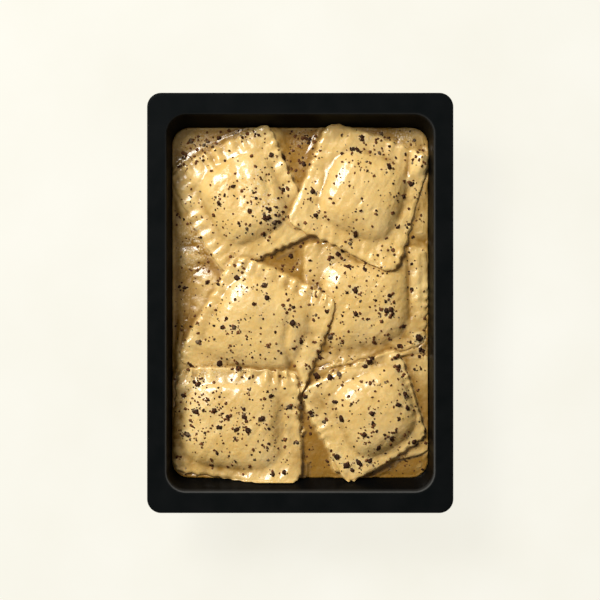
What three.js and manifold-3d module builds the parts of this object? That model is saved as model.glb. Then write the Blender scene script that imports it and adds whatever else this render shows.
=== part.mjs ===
// A tray meal: large square ravioli in a thick cream sauce with crushed black pepper, in a black plastic tray.
// Millimetres, +Z up. The origin is under the middle of the tray, on the surface that it stands on.
// +Y is the back of the tray, so that seen from above the meal reads as it was served.
import * as THREE from "three";
import { mergeVertices } from "three/addons/utils/BufferGeometryUtils.js";
import Module from "manifold-3d";

const wasm = await Module();
wasm.setup();

// The tray
const TRAY_LENGTH = 188;
const TRAY_WIDTH = 137;
const TRAY_HEIGHT = 36;
const RIM_SIDE = 8.7; // the flat rim's width along the two long sides
const RIM_END = 9.72; // and along the two short ends
const RIM_RADIUS = 6.3; // corners of the rim, seen from above
const RIM_TAPER = 0.6; // how much this radius shrinks for each millimetre inwards
const MOUTH_RADIUS = 8.8; // corners of the mouth
const FLOOR_RADIUS = 15; // corners of the floor
const LEAST_RADIUS = 0.4;
const SIDE_SLOPE = 0.095; // how far a long wall leans in for each millimetre down
const END_SLOPE = 0.29; // and an end wall
const SHEET = 0.8; // the plastic's thickness
const LIP_DROP = 2.2; // how far the rim's outer edge turns down
const LIP_ROUND = 0.8; // the rounding of the rim's two edges
const LIP_MIDDLE = 0.3; // where the middle of that rounding lies, as a share of it
const FLOOR_ROUND = 5; // the rounding between wall and floor
const FLOOR_DRAW = 2.75; // how far that rounding draws the wall in at the floor
const FOOT_WIDTH = 7; // the ring that the tray stands on
const FOOT_STEP = 0.9; // how far the floor inside that ring is raised
const BEND_HEIGHTS = [0.5, 1.8, 4];
const CORNER_STEPS = 5;

// The food
const SAUCE_LEVEL = 20;
const SAUCE_TILT = 0.006; // the sauce stands a little higher towards the back
const BED_LEVEL = 18.1; // what the lowest ravioli lie on, inside the sauce
const BED_GROWTH = 1.035; // the hollow for each of them is this much larger than it
const POCKET_HEIGHT = 5; // how far that hollow is cut above the sauce
const GAP = 0.32; // between any two pieces
const DOUGH = 1.45; // the flat border's thickness
const DOUGH_EDGE = 1.05; // and at its cut edge
const EDGE_START = 0.93; // where the border starts to thin towards that edge
const LEAST_DOUGH = 0.8; // the thinnest place of a raviolo
const SCALLOP = 0.41; // how far the fluted edge swings out and in
const FLUTES = 10; // flutes on each side of a raviolo
const FLUTE_FADE = 10; // how suddenly they fade out at its corners
const FLUTE_WANDER = [[1.2, 4.3], [0.7, 9.7]]; // how unevenly they are spaced: radians, and pace along the edge
const FLUTE_WEAK = 0.68; // how strong they are at the mean
const FLUTE_VARY = 0.32; // and how much that varies
const VARY_PACE = 3.7;
const CRIMP_DEPTH = 0.42; // the ridges that the cutter leaves across the border
const CRIMP_START = 0.66; // where they start, as a share of the raviolo
const CRIMP_WIDTH = 0.24;
const OUTLINE_BEND = 0.45; // the slow bends in a raviolo's outline
const BEND_PACE = 2.9;
const USUAL_HALF = 24; // half the width of a usual raviolo
const CORNER_ROUND = 0.05; // how far its corners are drawn in, as a share of that
const CORNER_POWER = 8; // how near to the edge those changes of the outline stay
const DOME_POWER = 4; // 2 makes a round filling, more a flatter one with steeper sides
const DOME_FOOT = 0.015; // how softly it meets the border
const SQUARENESS = 3.4; // 2 makes a filling that is round from above, more a squarer one
const CROWN_START = 1.5; // how far round the filling the top is smoother than what carries it
const SAG = 0.022; // how much the dough gives between supports, for each settling step
const SETTLE_STEPS = 110;
const LEAST_FOLD = 1.6; // narrower folds than this don't show in facets of this size

// Each raviolo from the lowest to the highest. Its corners are back left, back right, front right, front left.
// rise is the filling's height over the border, filling its half sizes as shares of the raviolo, shift its offset.
// flutes says how strongly its back, right, front and left borders are crimped, wall how high its edge may lie
// against the tray's ends, and folds its single folds as [x, y, half length, half width, direction, height].
const RAVIOLI = [
  { name: "raviolo_low_middle", rise: 0.6, corners: [[-31.1, 39.6], [15.4, 41.8], [17.7, -3.4], [-29.3, -5.7]] },
  { name: "raviolo_low_front_corner", rise: 0.2, corners: [[17.7, -35], [55.6, -35], [56.6, -76.4], [16.8, -78.2]] },
  { name: "raviolo_low_back_middle", rise: 0.5, corners: [[-14.9, 79], [27.6, 79], [29.4, 32.8], [-15.8, 31.9]] },
  { name: "raviolo_low_front_middle", rise: 0.4, corners: [[-17.6, -37.3], [24.5, -37.3], [23.1, -79], [-16.2, -79]] },
  { name: "raviolo_low_back_left", rise: 0.7, corners: [[-57.2, 78.6], [-10.4, 79], [-8.5, 31.9], [-57.2, 30]] },
  { name: "raviolo_low_back_right", rise: 0.5, corners: [[16.8, 78.4], [57.2, 78.4], [57.4, 30], [15, 31]] },
  {
    name: "raviolo_low_front_left",
    rise: 0.6,
    corners: [[-57.2, -31.4], [-11.7, -32.8], [-10.4, -78.8], [-57.2, -77.8]],
  },
  {
    name: "raviolo_low_front_right",
    rise: 0.8,
    corners: [[11.3, -29.6], [57.4, -22.4], [57.4, -68.9], [14.1, -78.4]],
  },
  {
    name: "raviolo_low_left",
    rise: 2.2,
    filling: [0.78, 0.76],
    shift: [-0.1, 0],
    corners: [[-53.5, 24.7], [-8.6, 12], [-5, -24], [-54, -23.4]],
  },
  {
    name: "raviolo_middle_right",
    rise: 4.6,
    filling: [0.72, 0.74],
    shift: [-0.04, -0.06],
    flutes: [0.2, 0.25, 0.2, 0.15],
    folds: [[53.6, 10, 16, 1.6, 92, 0.6]],
    corners: [[0.6, 28.2], [58, 26.6], [58.2, -19.4], [2.2, -26]],
  },
  {
    name: "raviolo_back_left",
    rise: 5,
    filling: [0.69, 0.7],
    shift: [0.03, 0.02],
    wall: 29,
    flutes: [1, 0.3, 0.15, 0.75],
    folds: [[-22, 48, 12, 1.6, 95, -0.5], [-40, 53, 7, 3.4, 70, 0.6], [-33, 64, 17, 3.6, 28, 0.7]],
    corners: [[-60, 59.4], [-15.5, 82.8], [7, 32], [-34.8, 11.8]],
  },
  {
    name: "raviolo_front_right",
    rise: 5.2,
    filling: [0.74, 0.78],
    shift: [0.19, -0.02],
    wall: 29,
    flutes: [0.2, 0.5, 0.3, 0.35],
    folds: [[21.5, -26, 6.6, 2.2, 14, 1.3], [33.4, -23.6, 5, 1.8, 8, 0.9]],
    corners: [[-0.8, -39.8], [43.8, -19.4], [58.6, -60.8], [20.6, -83.4]],
  },
  {
    name: "raviolo_back_right",
    rise: 5.2,
    filling: [0.7, 0.68],
    shift: [0.05, 0],
    wall: 29,
    flutes: [0.55, 0.5, 0.3, 0.5],
    folds: [[54.8, 63.6, 5.8, 3.4, 84, 3]],
    corners: [[12.6, 82.6], [60.8, 67.4], [43.2, 12.8], [-6.6, 35.8]],
  },
  {
    name: "raviolo_middle_left",
    rise: 4.4,
    filling: [0.76, 0.78],
    shift: [-0.06, 0.04],
    flutes: [1, 0.2, 0.1, 0.5],
    folds: [[1.6, -26, 8, 3.4, 76, 1]],
    corners: [[-30.6, 22.8], [17.2, 2.4], [0.6, -44.6], [-57, -27.4]],
  },
  {
    name: "raviolo_front_left",
    rise: 5.4,
    filling: [0.8, 0.74],
    shift: [-0.17, -0.11],
    wall: 27,
    flutes: [1.3, 0.4, 0.2, 0.3],
    folds: [[-8.5, -60, 5, 2.6, 75, 0.8], [-31, -38, 23, 4.2, 0, 1.3]],
    corners: [[-56.2, -29.6], [-0.2, -30.2], [0.2, -82.8], [-54.2, -74.6]],
  },
];
const USUAL_FILLING = [0.7, 0.7];
const NO_FLUTES = [0, 0, 0, 0];
const USUAL_WALL = 24;
const LOW_WALL = 17; // the lowest ravioli keep below the sauce
const SIDE_WALL = 22.5; // no edge lies higher against the tray's sides, which are steep
const FIRST_SEED = 300;
const SEED_STEP = 13;

// Patches of crushed pepper: x, y, spread, count, half the length of the largest flake.
const PEPPER = [
  [25.7, 69.6, 5.4, 12, 1.25], [50.7, 54, 1.7, 4, 1.3], [40.5, 61.4, 1.6, 3, 1.1],
  [5.7, 50.5, 0, 1, 1.35], [7.1, 39.8, 0, 1, 1.15], [25, 31.2, 0, 1, 1.6],
  [-14.3, 38.4, 3.5, 12, 1.4], [-7.7, 66.2, 0.4, 1, 1.15], [-36.9, 45.1, 0.4, 1, 1.2],
  [-30.3, 52.7, 0, 1, 1.1], [-13.2, 67.2, 0, 1, 1.2], [-49.8, 73.9, 1.2, 3, 1.1],
  [17.2, 22.1, 3.1, 7, 1.1], [29.2, 15.3, 0.5, 1, 1.1], [25, 5.4, 1.4, 5, 1.3],
  [39, -3.5, 3.3, 12, 1.25], [13.7, -15.6, 1.7, 4, 1.15], [9, -24.6, 0, 1, 1.3],
  [54.2, -16.1, 0.9, 3, 1.75], [54.7, -21.4, 0.9, 2, 1.25], [45.2, -19.6, 0.8, 2, 1.15],
  [51.7, -63.1, 0, 1, 1.3], [-28.7, 11.4, 0, 1, 1.3], [-16.3, 8.1, 1.7, 5, 1.1],
  [-15, 2.4, 0.4, 1, 1.25], [-3.4, -9.1, 0, 1, 1.5], [-29.9, -11.2, 1.2, 4, 1.1],
  [0.4, -17.7, 0, 1, 1.1], [-36.7, -27.5, 0.3, 1, 1.7], [-28, -29.4, 0.8, 3, 1.15],
  [-46.8, -37.2, 1.1, 4, 1.2], [-47.3, -49.5, 0.9, 4, 1.4], [-38.9, -48.7, 0.6, 2, 1.2],
  [-36.7, -56.3, 0.4, 2, 1.55], [-51.2, -59.6, 0.9, 3, 1.5], [-28.9, -57.2, 0.4, 1, 1.25],
  [-23.7, -57.7, 0.5, 2, 1.35], [-32.8, -51.5, 1.1, 4, 1.1], [-25, -51.8, 1.6, 6, 1.15],
  [-16.9, -52.3, 1.2, 4, 1.3], [-13.2, -42.1, 0, 1, 1.35], [-4.8, -47.3, 1.1, 4, 1.2],
  [-7.3, -76.7, 0.3, 1, 1.15], [7.5, -33.1, 0, 1, 1.8], [13.3, -33.7, 0.4, 1, 1.3],
  [17.6, -32.3, 0.4, 1, 1.1], [2.4, -42.6, 0.8, 3, 1.1], [4.7, -49.8, 1.4, 5, 1.1],
  [15.5, -44.9, 0.2, 1, 1.45], [18.6, -52.4, 0.3, 1, 1.8], [32.4, -49.8, 0.6, 2, 1.4],
  [28.9, -59.4, 1.7, 4, 1.1], [35.5, -65.8, 0.3, 1, 1.25], [44.2, -46, 0.4, 2, 1.35],
  [47.5, -41.3, 0.9, 3, 1.15], [48.5, -47.5, 0.5, 2, 1.1], [31.6, -27, 1.6, 4, 1.3],
  [16.8, -69.9, 0.4, 2, 1.45], [20.9, -73.7, 0.5, 2, 1.6], [23.6, -75.9, 0.4, 1, 1.1],
  [26.5, -72.4, 1.4, 4, 1.25], [31.6, -72, 1.4, 4, 1.1],
];
const PEPPER_SEED = 11;
const PATCH_SPREAD = 1.6;
const FLAKE_DRAWS = 7;
const FLAKE_SMALLER = 0.42; // the other flakes of a patch, as a share of its largest
const FLAKE_VARY = 0.4; // and how much that varies
const FLAKE_LIMIT = 112; // the largest of them all, so many
const FLAKE_NARROW = 0.62; // a flake's width as a share of its length
const FLAKE_WIDER = 0.36; // and how much that varies
const FLAKE_FLATNESS = 0.5;
const FLAKE_STAND = 0.1; // how far its middle stands over the surface, as a share of its size
const FLAKE_ROLL = 5; // radians
const SAME_PLACE = 1e-4; // corners nearer to each other than this are one

const LIFT_STEP = 0.15; // how much a place is lifted at a time where two pieces would cut into each other
const LIFT_REACH = 9;
const LIFT_ATTEMPTS = 24;
const LEAST_CUT = 0.001; // cubic millimetres

const clamp = (value, low, high) => Math.min(high, Math.max(low, value));
const smooth = (t) => clamp(t, 0, 1) ** 2 * (3 - 2 * clamp(t, 0, 1));
const isLow = (raviolo) => raviolo.name.includes("_low_");

// A repeatable stream of numbers from 0 to 1.
function stream(seed) {
  let state = seed >>> 0;
  return () => {
    state = (Math.imul(state, 1664525) + 1013904223) >>> 0;
    return state / 4294967296;
  };
}

const MOUTH_X = TRAY_WIDTH / 2 - RIM_SIDE;
const MOUTH_Y = TRAY_LENGTH / 2 - RIM_END;
const FLOOR_TOP = FOOT_STEP + SHEET;

// The inside of the tray, cut level at height z: half sizes and corner radius.
function mouthAt(z) {
  const depth = TRAY_HEIGHT - z;
  const share = clamp(depth / (TRAY_HEIGHT - FLOOR_TOP), 0, 1);
  return {
    x: MOUTH_X - depth * SIDE_SLOPE,
    y: MOUTH_Y - depth * END_SLOPE,
    r: MOUTH_RADIUS + share * (FLOOR_RADIUS - MOUTH_RADIUS),
  };
}

// How far a point lies outside a rounded rectangle; negative inside.
function outside(x, y, section) {
  const qx = Math.abs(x) - section.x + section.r;
  const qy = Math.abs(y) - section.y + section.r;
  return Math.hypot(Math.max(qx, 0), Math.max(qy, 0)) + Math.min(Math.max(qx, qy), 0) - section.r;
}

// The height at which the tray's wall passes a point, kept a gap away from it. Beyond the mouth it is a little higher.
const BEYOND_MOUTH = 4;
const WALL_STEPS = 18;
function wallHeight(x, y) {
  let low = 0;
  let high = TRAY_HEIGHT + BEYOND_MOUTH;
  for (let step = 0; step < WALL_STEPS; step += 1) {
    const middle = (low + high) / 2;
    if (outside(x, y, mouthAt(middle)) > -GAP) low = middle;
    else high = middle;
  }
  return high;
}

const sauceHeight = (y) => SAUCE_LEVEL + SAUCE_TILT * y;

// Height fields over the tray, on one grid. Every reach is in its cells.
const CELL = 0.5;
const HALF_X = 124;
const HALF_Y = 176;
const NX = 2 * HALF_X + 1;
const NY = 2 * HALF_Y + 1;
const PILE_REACH = 2;
const SETTLE_REACH = 6;
const SKIRT = 4; // how far a raviolo's fields go on beyond its outline
const BORDER_REACH = 5; // over which the border's top is smoother than what carries it
const FILLING_REACH = 14; // and the filling's
const NEAR_REACH = 4; // how far round a place the underside stays clear of the pile, near the edge
const WIDE_REACH = 8; // and further in, where the facets are larger
const COVER_REACH = 5; // how far pepper keeps from a raviolo that lies over it
const COVER_SAMPLES = 240;
const cellOf = (x, y) =>
  clamp(Math.round(y / CELL) + HALF_Y, 0, NY - 1) * NX + clamp(Math.round(x / CELL) + HALF_X, 0, NX - 1);

function sample(field, x, y) {
  const gx = clamp(x / CELL + HALF_X, 0, NX - 1.001);
  const gy = clamp(y / CELL + HALF_Y, 0, NY - 1.001);
  const i = Math.floor(gx);
  const j = Math.floor(gy);
  const [fx, fy] = [gx - i, gy - j];
  const at = (a, b) => field[(j + b) * NX + i + a];
  return (at(0, 0) * (1 - fx) + at(1, 0) * fx) * (1 - fy) + (at(0, 1) * (1 - fx) + at(1, 1) * fx) * fy;
}

// Each line of cells becomes what combine makes of it, along x and then along y.
function sweep(field, combine) {
  const along = (source, stride, count, lines, lineStride) => {
    const result = new Float64Array(source.length);
    for (let line = 0; line < lines; line += 1) combine(source, result, line * lineStride, stride, count);
    return result;
  };
  return along(along(field, 1, NX, NY, NX), NX, NY, NX, 1);
}

// The highest cell of the window round each.
const highest = (field, reach) =>
  sweep(field, (source, result, start, stride, count) => {
    for (let k = 0; k < count; k += 1) {
      let best = -Infinity;
      const last = Math.min(count - 1, k + reach);
      for (let n = Math.max(0, k - reach); n <= last; n += 1) best = Math.max(best, source[start + n * stride]);
      result[start + k * stride] = best;
    }
  });

// The total of the window round each, from a running sum.
const total = (field, reach) =>
  sweep(field, (source, result, start, stride, count) => {
    let sum = 0;
    for (let k = -reach; k < count; k += 1) {
      if (k + reach < count) sum += source[start + (k + reach) * stride];
      if (k > reach) sum -= source[start + (k - reach - 1) * stride];
      if (k >= 0) result[start + k * stride] = sum;
    }
  });

// The mean over a window, counting only the cells of the mask, which are 1; elsewhere it is 0.
function meanInside(field, mask, reach, counts = total(mask, reach)) {
  const sums = total(field.map((value, k) => value * mask[k]), reach);
  return sums.map((sum, k) => (Math.round(counts[k]) ? sum / counts[k] : field[k]));
}

// How far the flutes of an edge have wandered from an even spacing, in radians.
function wanderAt(raviolo, side, along) {
  return FLUTE_WANDER.reduce((sum, [size, pace], k) => sum + size * Math.sin(pace * along + raviolo.phases[side][k]), 0);
}

// How far a crimped edge stands out, about -1 to 1, along the back, right, front or left side.
function ripple(raviolo, side, along) {
  const strength = FLUTE_WEAK + FLUTE_VARY * Math.sin(VARY_PACE * along + raviolo.phases[side][2]);
  return strength * Math.cos(Math.PI * FLUTES * (along + 1) + wanderAt(raviolo, side, along));
}

// The ripple of the two edges that face each other, fading out at the corners.
function edgeRipple(raviolo, across, along, sides, depths) {
  const side = sides[across > 0 ? 0 : 1];
  return (1 - Math.abs(along) ** FLUTE_FADE) * depths[side] * ripple(raviolo, side, along);
}

// The slow bends in the outline of those edges.
function edgeBend(raviolo, across, along, sides) {
  const phase = raviolo.phases[sides[across > 0 ? 0 : 1]][0];
  return OUTLINE_BEND * Math.sin(BEND_PACE * along + phase);
}

// A point of a raviolo: u and v run from -1 to 1 across it, and reach its fluted edge.
// A plain one has straight edges, as the ravioli in the sauce and their hollows do.
function place(raviolo, u, v) {
  const [a, b, c, d] = raviolo.corners;
  const [nearU, nearV] = [Math.abs(u) ** CORNER_POWER, Math.abs(v) ** CORNER_POWER];
  const round = 1 - CORNER_ROUND * nearU * nearV;
  const scallops = [SCALLOP, SCALLOP, SCALLOP, SCALLOP];
  const out = (across, along, sides) =>
    raviolo.plain ? 0 : edgeRipple(raviolo, across, along, sides, scallops) + edgeBend(raviolo, across, along, sides);
  const pu = u * round + (Math.sign(u) * nearU * out(u, v, [1, 3])) / USUAL_HALF;
  const pv = v * round + (Math.sign(v) * nearV * out(v, u, [0, 2])) / USUAL_HALF;
  const mix = (k) =>
    ((1 - pu) * (1 + pv) * a[k] + (1 + pu) * (1 + pv) * b[k] + (1 + pu) * (1 - pv) * c[k] +
      (1 - pu) * (1 - pv) * d[k]) / 4;
  let [x, y] = [mix(0), mix(1)];
  const ends = mouthAt(raviolo.wall);
  const sides = mouthAt(Math.min(raviolo.wall, SIDE_WALL));
  const inner = { x: sides.x - ends.r - GAP, y: ends.y - ends.r - GAP };
  const [cx, cy] = [clamp(x, -inner.x, inner.x), clamp(y, -inner.y, inner.y)];
  const away = Math.hypot(x - cx, y - cy);
  if (away > ends.r && !raviolo.hollow) {
    x = cx + ((x - cx) * ends.r) / away;
    y = cy + ((y - cy) * ends.r) / away;
  }
  return [x, y];
}

// How deep inside the filled middle a point lies: 0 at its centre, 1 at its foot.
function fillingShare(raviolo, u, v) {
  const [hu, hv] = raviolo.filling ?? USUAL_FILLING;
  const [su, sv] = raviolo.shift ?? [0, 0];
  return (Math.abs((u - su) / hu) ** SQUARENESS + Math.abs((v - sv) / hv) ** SQUARENESS) ** (1 / SQUARENESS);
}

// The dough's and filling's height over the raviolo's underside.
function thickness(raviolo, u, v) {
  const over = 1 - fillingShare(raviolo, u, v) ** DOME_POWER;
  const dome = (over + Math.sqrt(over * over + DOME_FOOT)) / 2;
  const depths = (raviolo.flutes ?? NO_FLUTES).map((strength) => strength * CRIMP_DEPTH);
  const crimpedAt = (across) => smooth((Math.abs(across) - CRIMP_START) / CRIMP_WIDTH);
  const crimp =
    crimpedAt(u) * edgeRipple(raviolo, u, v, [1, 3], depths) + crimpedAt(v) * edgeRipple(raviolo, v, u, [0, 2], depths);
  const edge = Math.max(Math.abs(u), Math.abs(v));
  const rounded = (DOUGH - DOUGH_EDGE) * smooth((edge - EDGE_START) / (1 - EDGE_START));
  return DOUGH - rounded + crimp * (1 - clamp(dome, 0, 1)) + raviolo.rise * dome;
}

// The cells that a raviolo covers, or that it would at another size.
function coverOf(raviolo, size = 1) {
  const cells = new Float64Array(NX * NY);
  for (let a = 0; a <= COVER_SAMPLES; a += 1) {
    for (let b = 0; b <= COVER_SAMPLES; b += 1) {
      const [u, v] = [(2 * a) / COVER_SAMPLES - 1, (2 * b) / COVER_SAMPLES - 1];
      cells[cellOf(...place(raviolo, u * size, v * size))] = 1;
    }
  }
  return cells;
}

// Lets a raviolo settle on the pile under it: base becomes the field of its underside, soft and crown smoother ones.
function settle(raviolo, pile) {
  const { mask } = raviolo;
  const support = highest(pile, PILE_REACH).map((height, k) => Math.max(height + GAP, walls[k]));
  const counts = total(mask, SETTLE_REACH);
  let base = support.slice();
  for (let step = 0; step < SETTLE_STEPS; step += 1) {
    base = meanInside(base, mask, SETTLE_REACH, counts).map((mean, k) => Math.max(support[k], mean - SAG));
  }
  const beyond = meanInside(base, mask, SETTLE_REACH, counts);
  base = base.map((height, k) => (mask[k] ? height : beyond[k]));
  const wide = highest(mask, SKIRT);
  const smoothed = (reach) => meanInside(meanInside(base, wide, reach), wide, reach);
  Object.assign(raviolo, { base, soft: smoothed(BORDER_REACH), crown: smoothed(FILLING_REACH) });
}

// The single folds of a raviolo, at a place in the tray.
function foldsAt(raviolo, x, y) {
  let sum = 0;
  for (const [fx, fy, halfLength, halfWidth, direction, height] of raviolo.folds ?? []) {
    if (halfWidth < LEAST_FOLD) continue;
    const turn = THREE.MathUtils.degToRad(direction);
    const along = ((x - fx) * Math.cos(turn) + (y - fy) * Math.sin(turn)) / halfLength;
    const across = ((y - fy) * Math.cos(turn) - (x - fx) * Math.sin(turn)) / halfWidth;
    sum += height * Math.exp(-(along ** 4) - across ** 2);
  }
  return sum;
}

// The top follows what carries the raviolo, more smoothly than the underside does, and most so over the filling.
function topHeight(raviolo, u, v, x, y) {
  const filled = smooth(CROWN_START - fillingShare(raviolo, u, v));
  const carried = sample(raviolo.soft, x, y) * (1 - filled) + sample(raviolo.crown, x, y) * filled;
  return carried + thickness(raviolo, u, v) + foldsAt(raviolo, x, y);
}

// A closed mesh as a solid, and a solid as a geometry.
function solidFrom(positions, triangles) {
  const mesh = new wasm.Mesh({
    numProp: 3,
    vertProperties: new Float32Array(positions.flat()),
    triVerts: new Uint32Array(triangles.flat()),
  });
  return new wasm.Manifold(mesh);
}
function geometryOf(solid) {
  const mesh = solid.getMesh();
  const positions = new Float32Array(mesh.numVert * 3);
  for (let k = 0; k < mesh.numVert; k += 1) {
    positions.set(mesh.vertProperties.subarray(k * mesh.numProp, k * mesh.numProp + 3), k * 3);
  }
  return new THREE.BufferGeometry()
    .setAttribute("position", new THREE.BufferAttribute(positions, 3))
    .setIndex(new THREE.BufferAttribute(mesh.triVerts, 1));
}

// Two rings of any counts, joined by triangles. A ring is { first, count }, its points evenly spread from one corner.
function stitch(triangles, outer, inner) {
  let [i, j] = [0, 0];
  while (i < outer.count || j < inner.count) {
    const a = outer.first + (i % outer.count);
    const b = inner.first + (j % inner.count);
    const outerNext = (i + 1) / outer.count <= (j + 1) / inner.count;
    if (j >= inner.count || (i < outer.count && outerNext)) {
      triangles.push([a, outer.first + ((i + 1) % outer.count), b]);
      i += 1;
    } else {
      triangles.push([a, inner.first + ((j + 1) % inner.count), b]);
      j += 1;
    }
  }
}
function fan(triangles, ring, centre, up) {
  for (let k = 0; k < ring.count; k += 1) {
    const [a, b] = [ring.first + k, ring.first + ((k + 1) % ring.count)];
    triangles.push(up ? [a, b, centre] : [b, a, centre]);
  }
}

const BORDER_RING = 0.85; // rings larger than this keep their points on the flutes
const FILLING_RING = 0.72; // at this size a ring has drawn in to the filling
const CRIMP_SIDES = [2, 1, 0, 3]; // the front, right, back and left side, in the order that a ring runs

// Moves a point along an edge to where its flute is fullest, so that few points show them all.
const FLUTE_STEPS = 5;
function atFlute(raviolo, side, along) {
  let moved = along;
  for (let step = 0; step < FLUTE_STEPS; step += 1) {
    const wander = wanderAt(raviolo, side, moved) * (1 - Math.abs(along) ** CORNER_POWER);
    moved = along - wander / (Math.PI * FLUTES);
  }
  return moved;
}

// Square rings of u and v round a raviolo, drawn in to its filling as they shrink.
function ringPoint(raviolo, size, side, t) {
  const run = 2 * t - 1;
  const forward = side < 2 ? 1 : -1;
  const border = size > BORDER_RING && !raviolo.plain;
  const fluted = border ? forward * atFlute(raviolo, CRIMP_SIDES[side], forward * run) : run;
  const along = border ? fluted * (1 - (1 - size) * Math.abs(run) ** CORNER_POWER) : run * size;
  const [a, b] = [[along, -size], [size, along], [-along, size], [-size, -along]][side];
  const [hu, hv] = raviolo.filling ?? USUAL_FILLING;
  const [su, sv] = raviolo.shift ?? [0, 0];
  const pull = clamp((1 - size) / (1 - FILLING_RING), 0, 1);
  return [
    pull * (su + (a * hu) / FILLING_RING) + (1 - pull) * a,
    pull * (sv + (b * hv) / FILLING_RING) + (1 - pull) * b,
  ];
}

// The rings of a raviolo's top and underside, as their size and their points to a side.
const TOP_RINGS = [[1, 20], [0.9, 20], [0.76, 10], [0.66, 8], [0.54, 6], [0.4, 4], [0.2, 2]];
const UNDER_RINGS = [[0.88, 10], [0.74, 6], [0.45, 3]];
const LOW_TOP_RINGS = [[1, 10], [0.86, 8], [0.72, 6], [0.5, 4], [0.25, 2]];
const LOW_UNDER_RINGS = [[0.8, 5], [0.4, 2]];

function ravioloSolid(raviolo, clearance, lifts) {
  const low = isLow(raviolo);
  const positions = [];
  const triangles = [];
  const addRing = ([size, perSide], height) => {
    const ring = { first: positions.length, count: 4 * perSide };
    for (let k = 0; k < ring.count; k += 1) {
      const [u, v] = ringPoint(raviolo, size, Math.floor(k / perSide), (k % perSide) / perSide);
      const [x, y] = place(raviolo, u, v);
      positions.push([x, y, height(u, v, x, y)]);
    }
    return ring;
  };
  const underside = (u, v, x, y) => {
    const inner = Math.max(Math.abs(u), Math.abs(v)) < FILLING_RING;
    const clear = sample(inner ? clearance.wide : clearance.near, x, y) + GAP;
    const touching = lifts.filter((box) => x > box.min[0] && x < box.max[0] && y > box.min[1] && y < box.max[1]);
    return Math.max(sample(raviolo.base, x, y), clear, wallHeight(x, y)) + touching.length * LIFT_STEP;
  };
  const top = (u, v, x, y) => Math.max(topHeight(raviolo, u, v, x, y), underside(u, v, x, y) + LEAST_DOUGH);
  const [su, sv] = raviolo.shift ?? [0, 0];
  const [cx, cy] = place(raviolo, su, sv);
  const over = (low ? LOW_TOP_RINGS : TOP_RINGS).map((ring) => addRing(ring, top));
  for (let k = 1; k < over.length; k += 1) stitch(triangles, over[k - 1], over[k]);
  positions.push([cx, cy, top(su, sv, cx, cy)]);
  fan(triangles, over.at(-1), positions.length - 1, true);
  const edge = [1, low ? LOW_TOP_RINGS[0][1] : TOP_RINGS[0][1]];
  const under = [edge, ...(low ? LOW_UNDER_RINGS : UNDER_RINGS)].map((ring) => addRing(ring, underside));
  stitch(triangles, under[0], over[0]);
  for (let k = 1; k < under.length; k += 1) {
    const made = [];
    stitch(made, under[k - 1], under[k]);
    triangles.push(...made.map(([a, b, c]) => [b, a, c]));
  }
  positions.push([cx, cy, underside(su, sv, cx, cy)]);
  fan(triangles, under.at(-1), positions.length - 1, false);
  return solidFrom(positions, triangles);
}

// A raviolo clear of everything under it: where its facets still cut into a lower piece, it is lifted a little.
function clearedSolid(raviolo, pile, lower) {
  const clearance = isLow(raviolo)
    ? { near: pile, wide: pile }
    : { near: highest(pile, NEAR_REACH), wide: highest(pile, WIDE_REACH) };
  const lifts = [];
  for (let attempt = 0; attempt < LIFT_ATTEMPTS; attempt += 1) {
    const solid = ravioloSolid(raviolo, clearance, lifts);
    const cuts = lower.map((other) => solid.intersect(other)).filter((cut) => cut.volume() > LEAST_CUT);
    if (!cuts.length) return solid;
    for (const cut of cuts) {
      const { min, max } = cut.boundingBox();
      lifts.push({ min: [min[0] - LIFT_REACH, min[1] - LIFT_REACH], max: [max[0] + LIFT_REACH, max[1] + LIFT_REACH] });
    }
  }
  throw new Error(`${raviolo.name} still cuts into a lower piece`);
}

// The facets of a mesh that face up, each with its box and its height at a place in it.
function upwardFacets(mesh) {
  const facets = [];
  for (let t = 0; t < mesh.numTri; t += 1) {
    const [a, b, c] = [0, 1, 2].map((k) => {
      const at = mesh.triVerts[3 * t + k] * mesh.numProp;
      return mesh.vertProperties.subarray(at, at + 3);
    });
    const area = (b[0] - a[0]) * (c[1] - a[1]) - (c[0] - a[0]) * (b[1] - a[1]);
    if (area <= 0) continue;
    const heightAt = (x, y) => {
      const wb = ((x - a[0]) * (c[1] - a[1]) - (c[0] - a[0]) * (y - a[1])) / area;
      const wc = ((b[0] - a[0]) * (y - a[1]) - (x - a[0]) * (b[1] - a[1])) / area;
      return wb < 0 || wc < 0 || wb + wc > 1 ? -Infinity : a[2] + wb * (b[2] - a[2]) + wc * (c[2] - a[2]);
    };
    const range = (k) => [Math.min(a[k], b[k], c[k]), Math.max(a[k], b[k], c[k])];
    facets.push({ x: range(0), y: range(1), heightAt });
  }
  return facets;
}

// The highest point of the facets over a place.
const surfaceHeight = (facets, x, y) => Math.max(...facets.map((facet) => facet.heightAt(x, y)));

// The pile with those facets laid on it.
function raised(pile, facets) {
  const next = pile.slice();
  for (const { x, y, heightAt } of facets) {
    for (let j = Math.ceil(y[0] / CELL); j * CELL <= y[1]; j += 1) {
      for (let i = Math.ceil(x[0] / CELL); i * CELL <= x[1]; i += 1) {
        const k = cellOf(i * CELL, j * CELL);
        next[k] = Math.max(next[k], heightAt(i * CELL, j * CELL));
      }
    }
  }
  return next;
}

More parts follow.
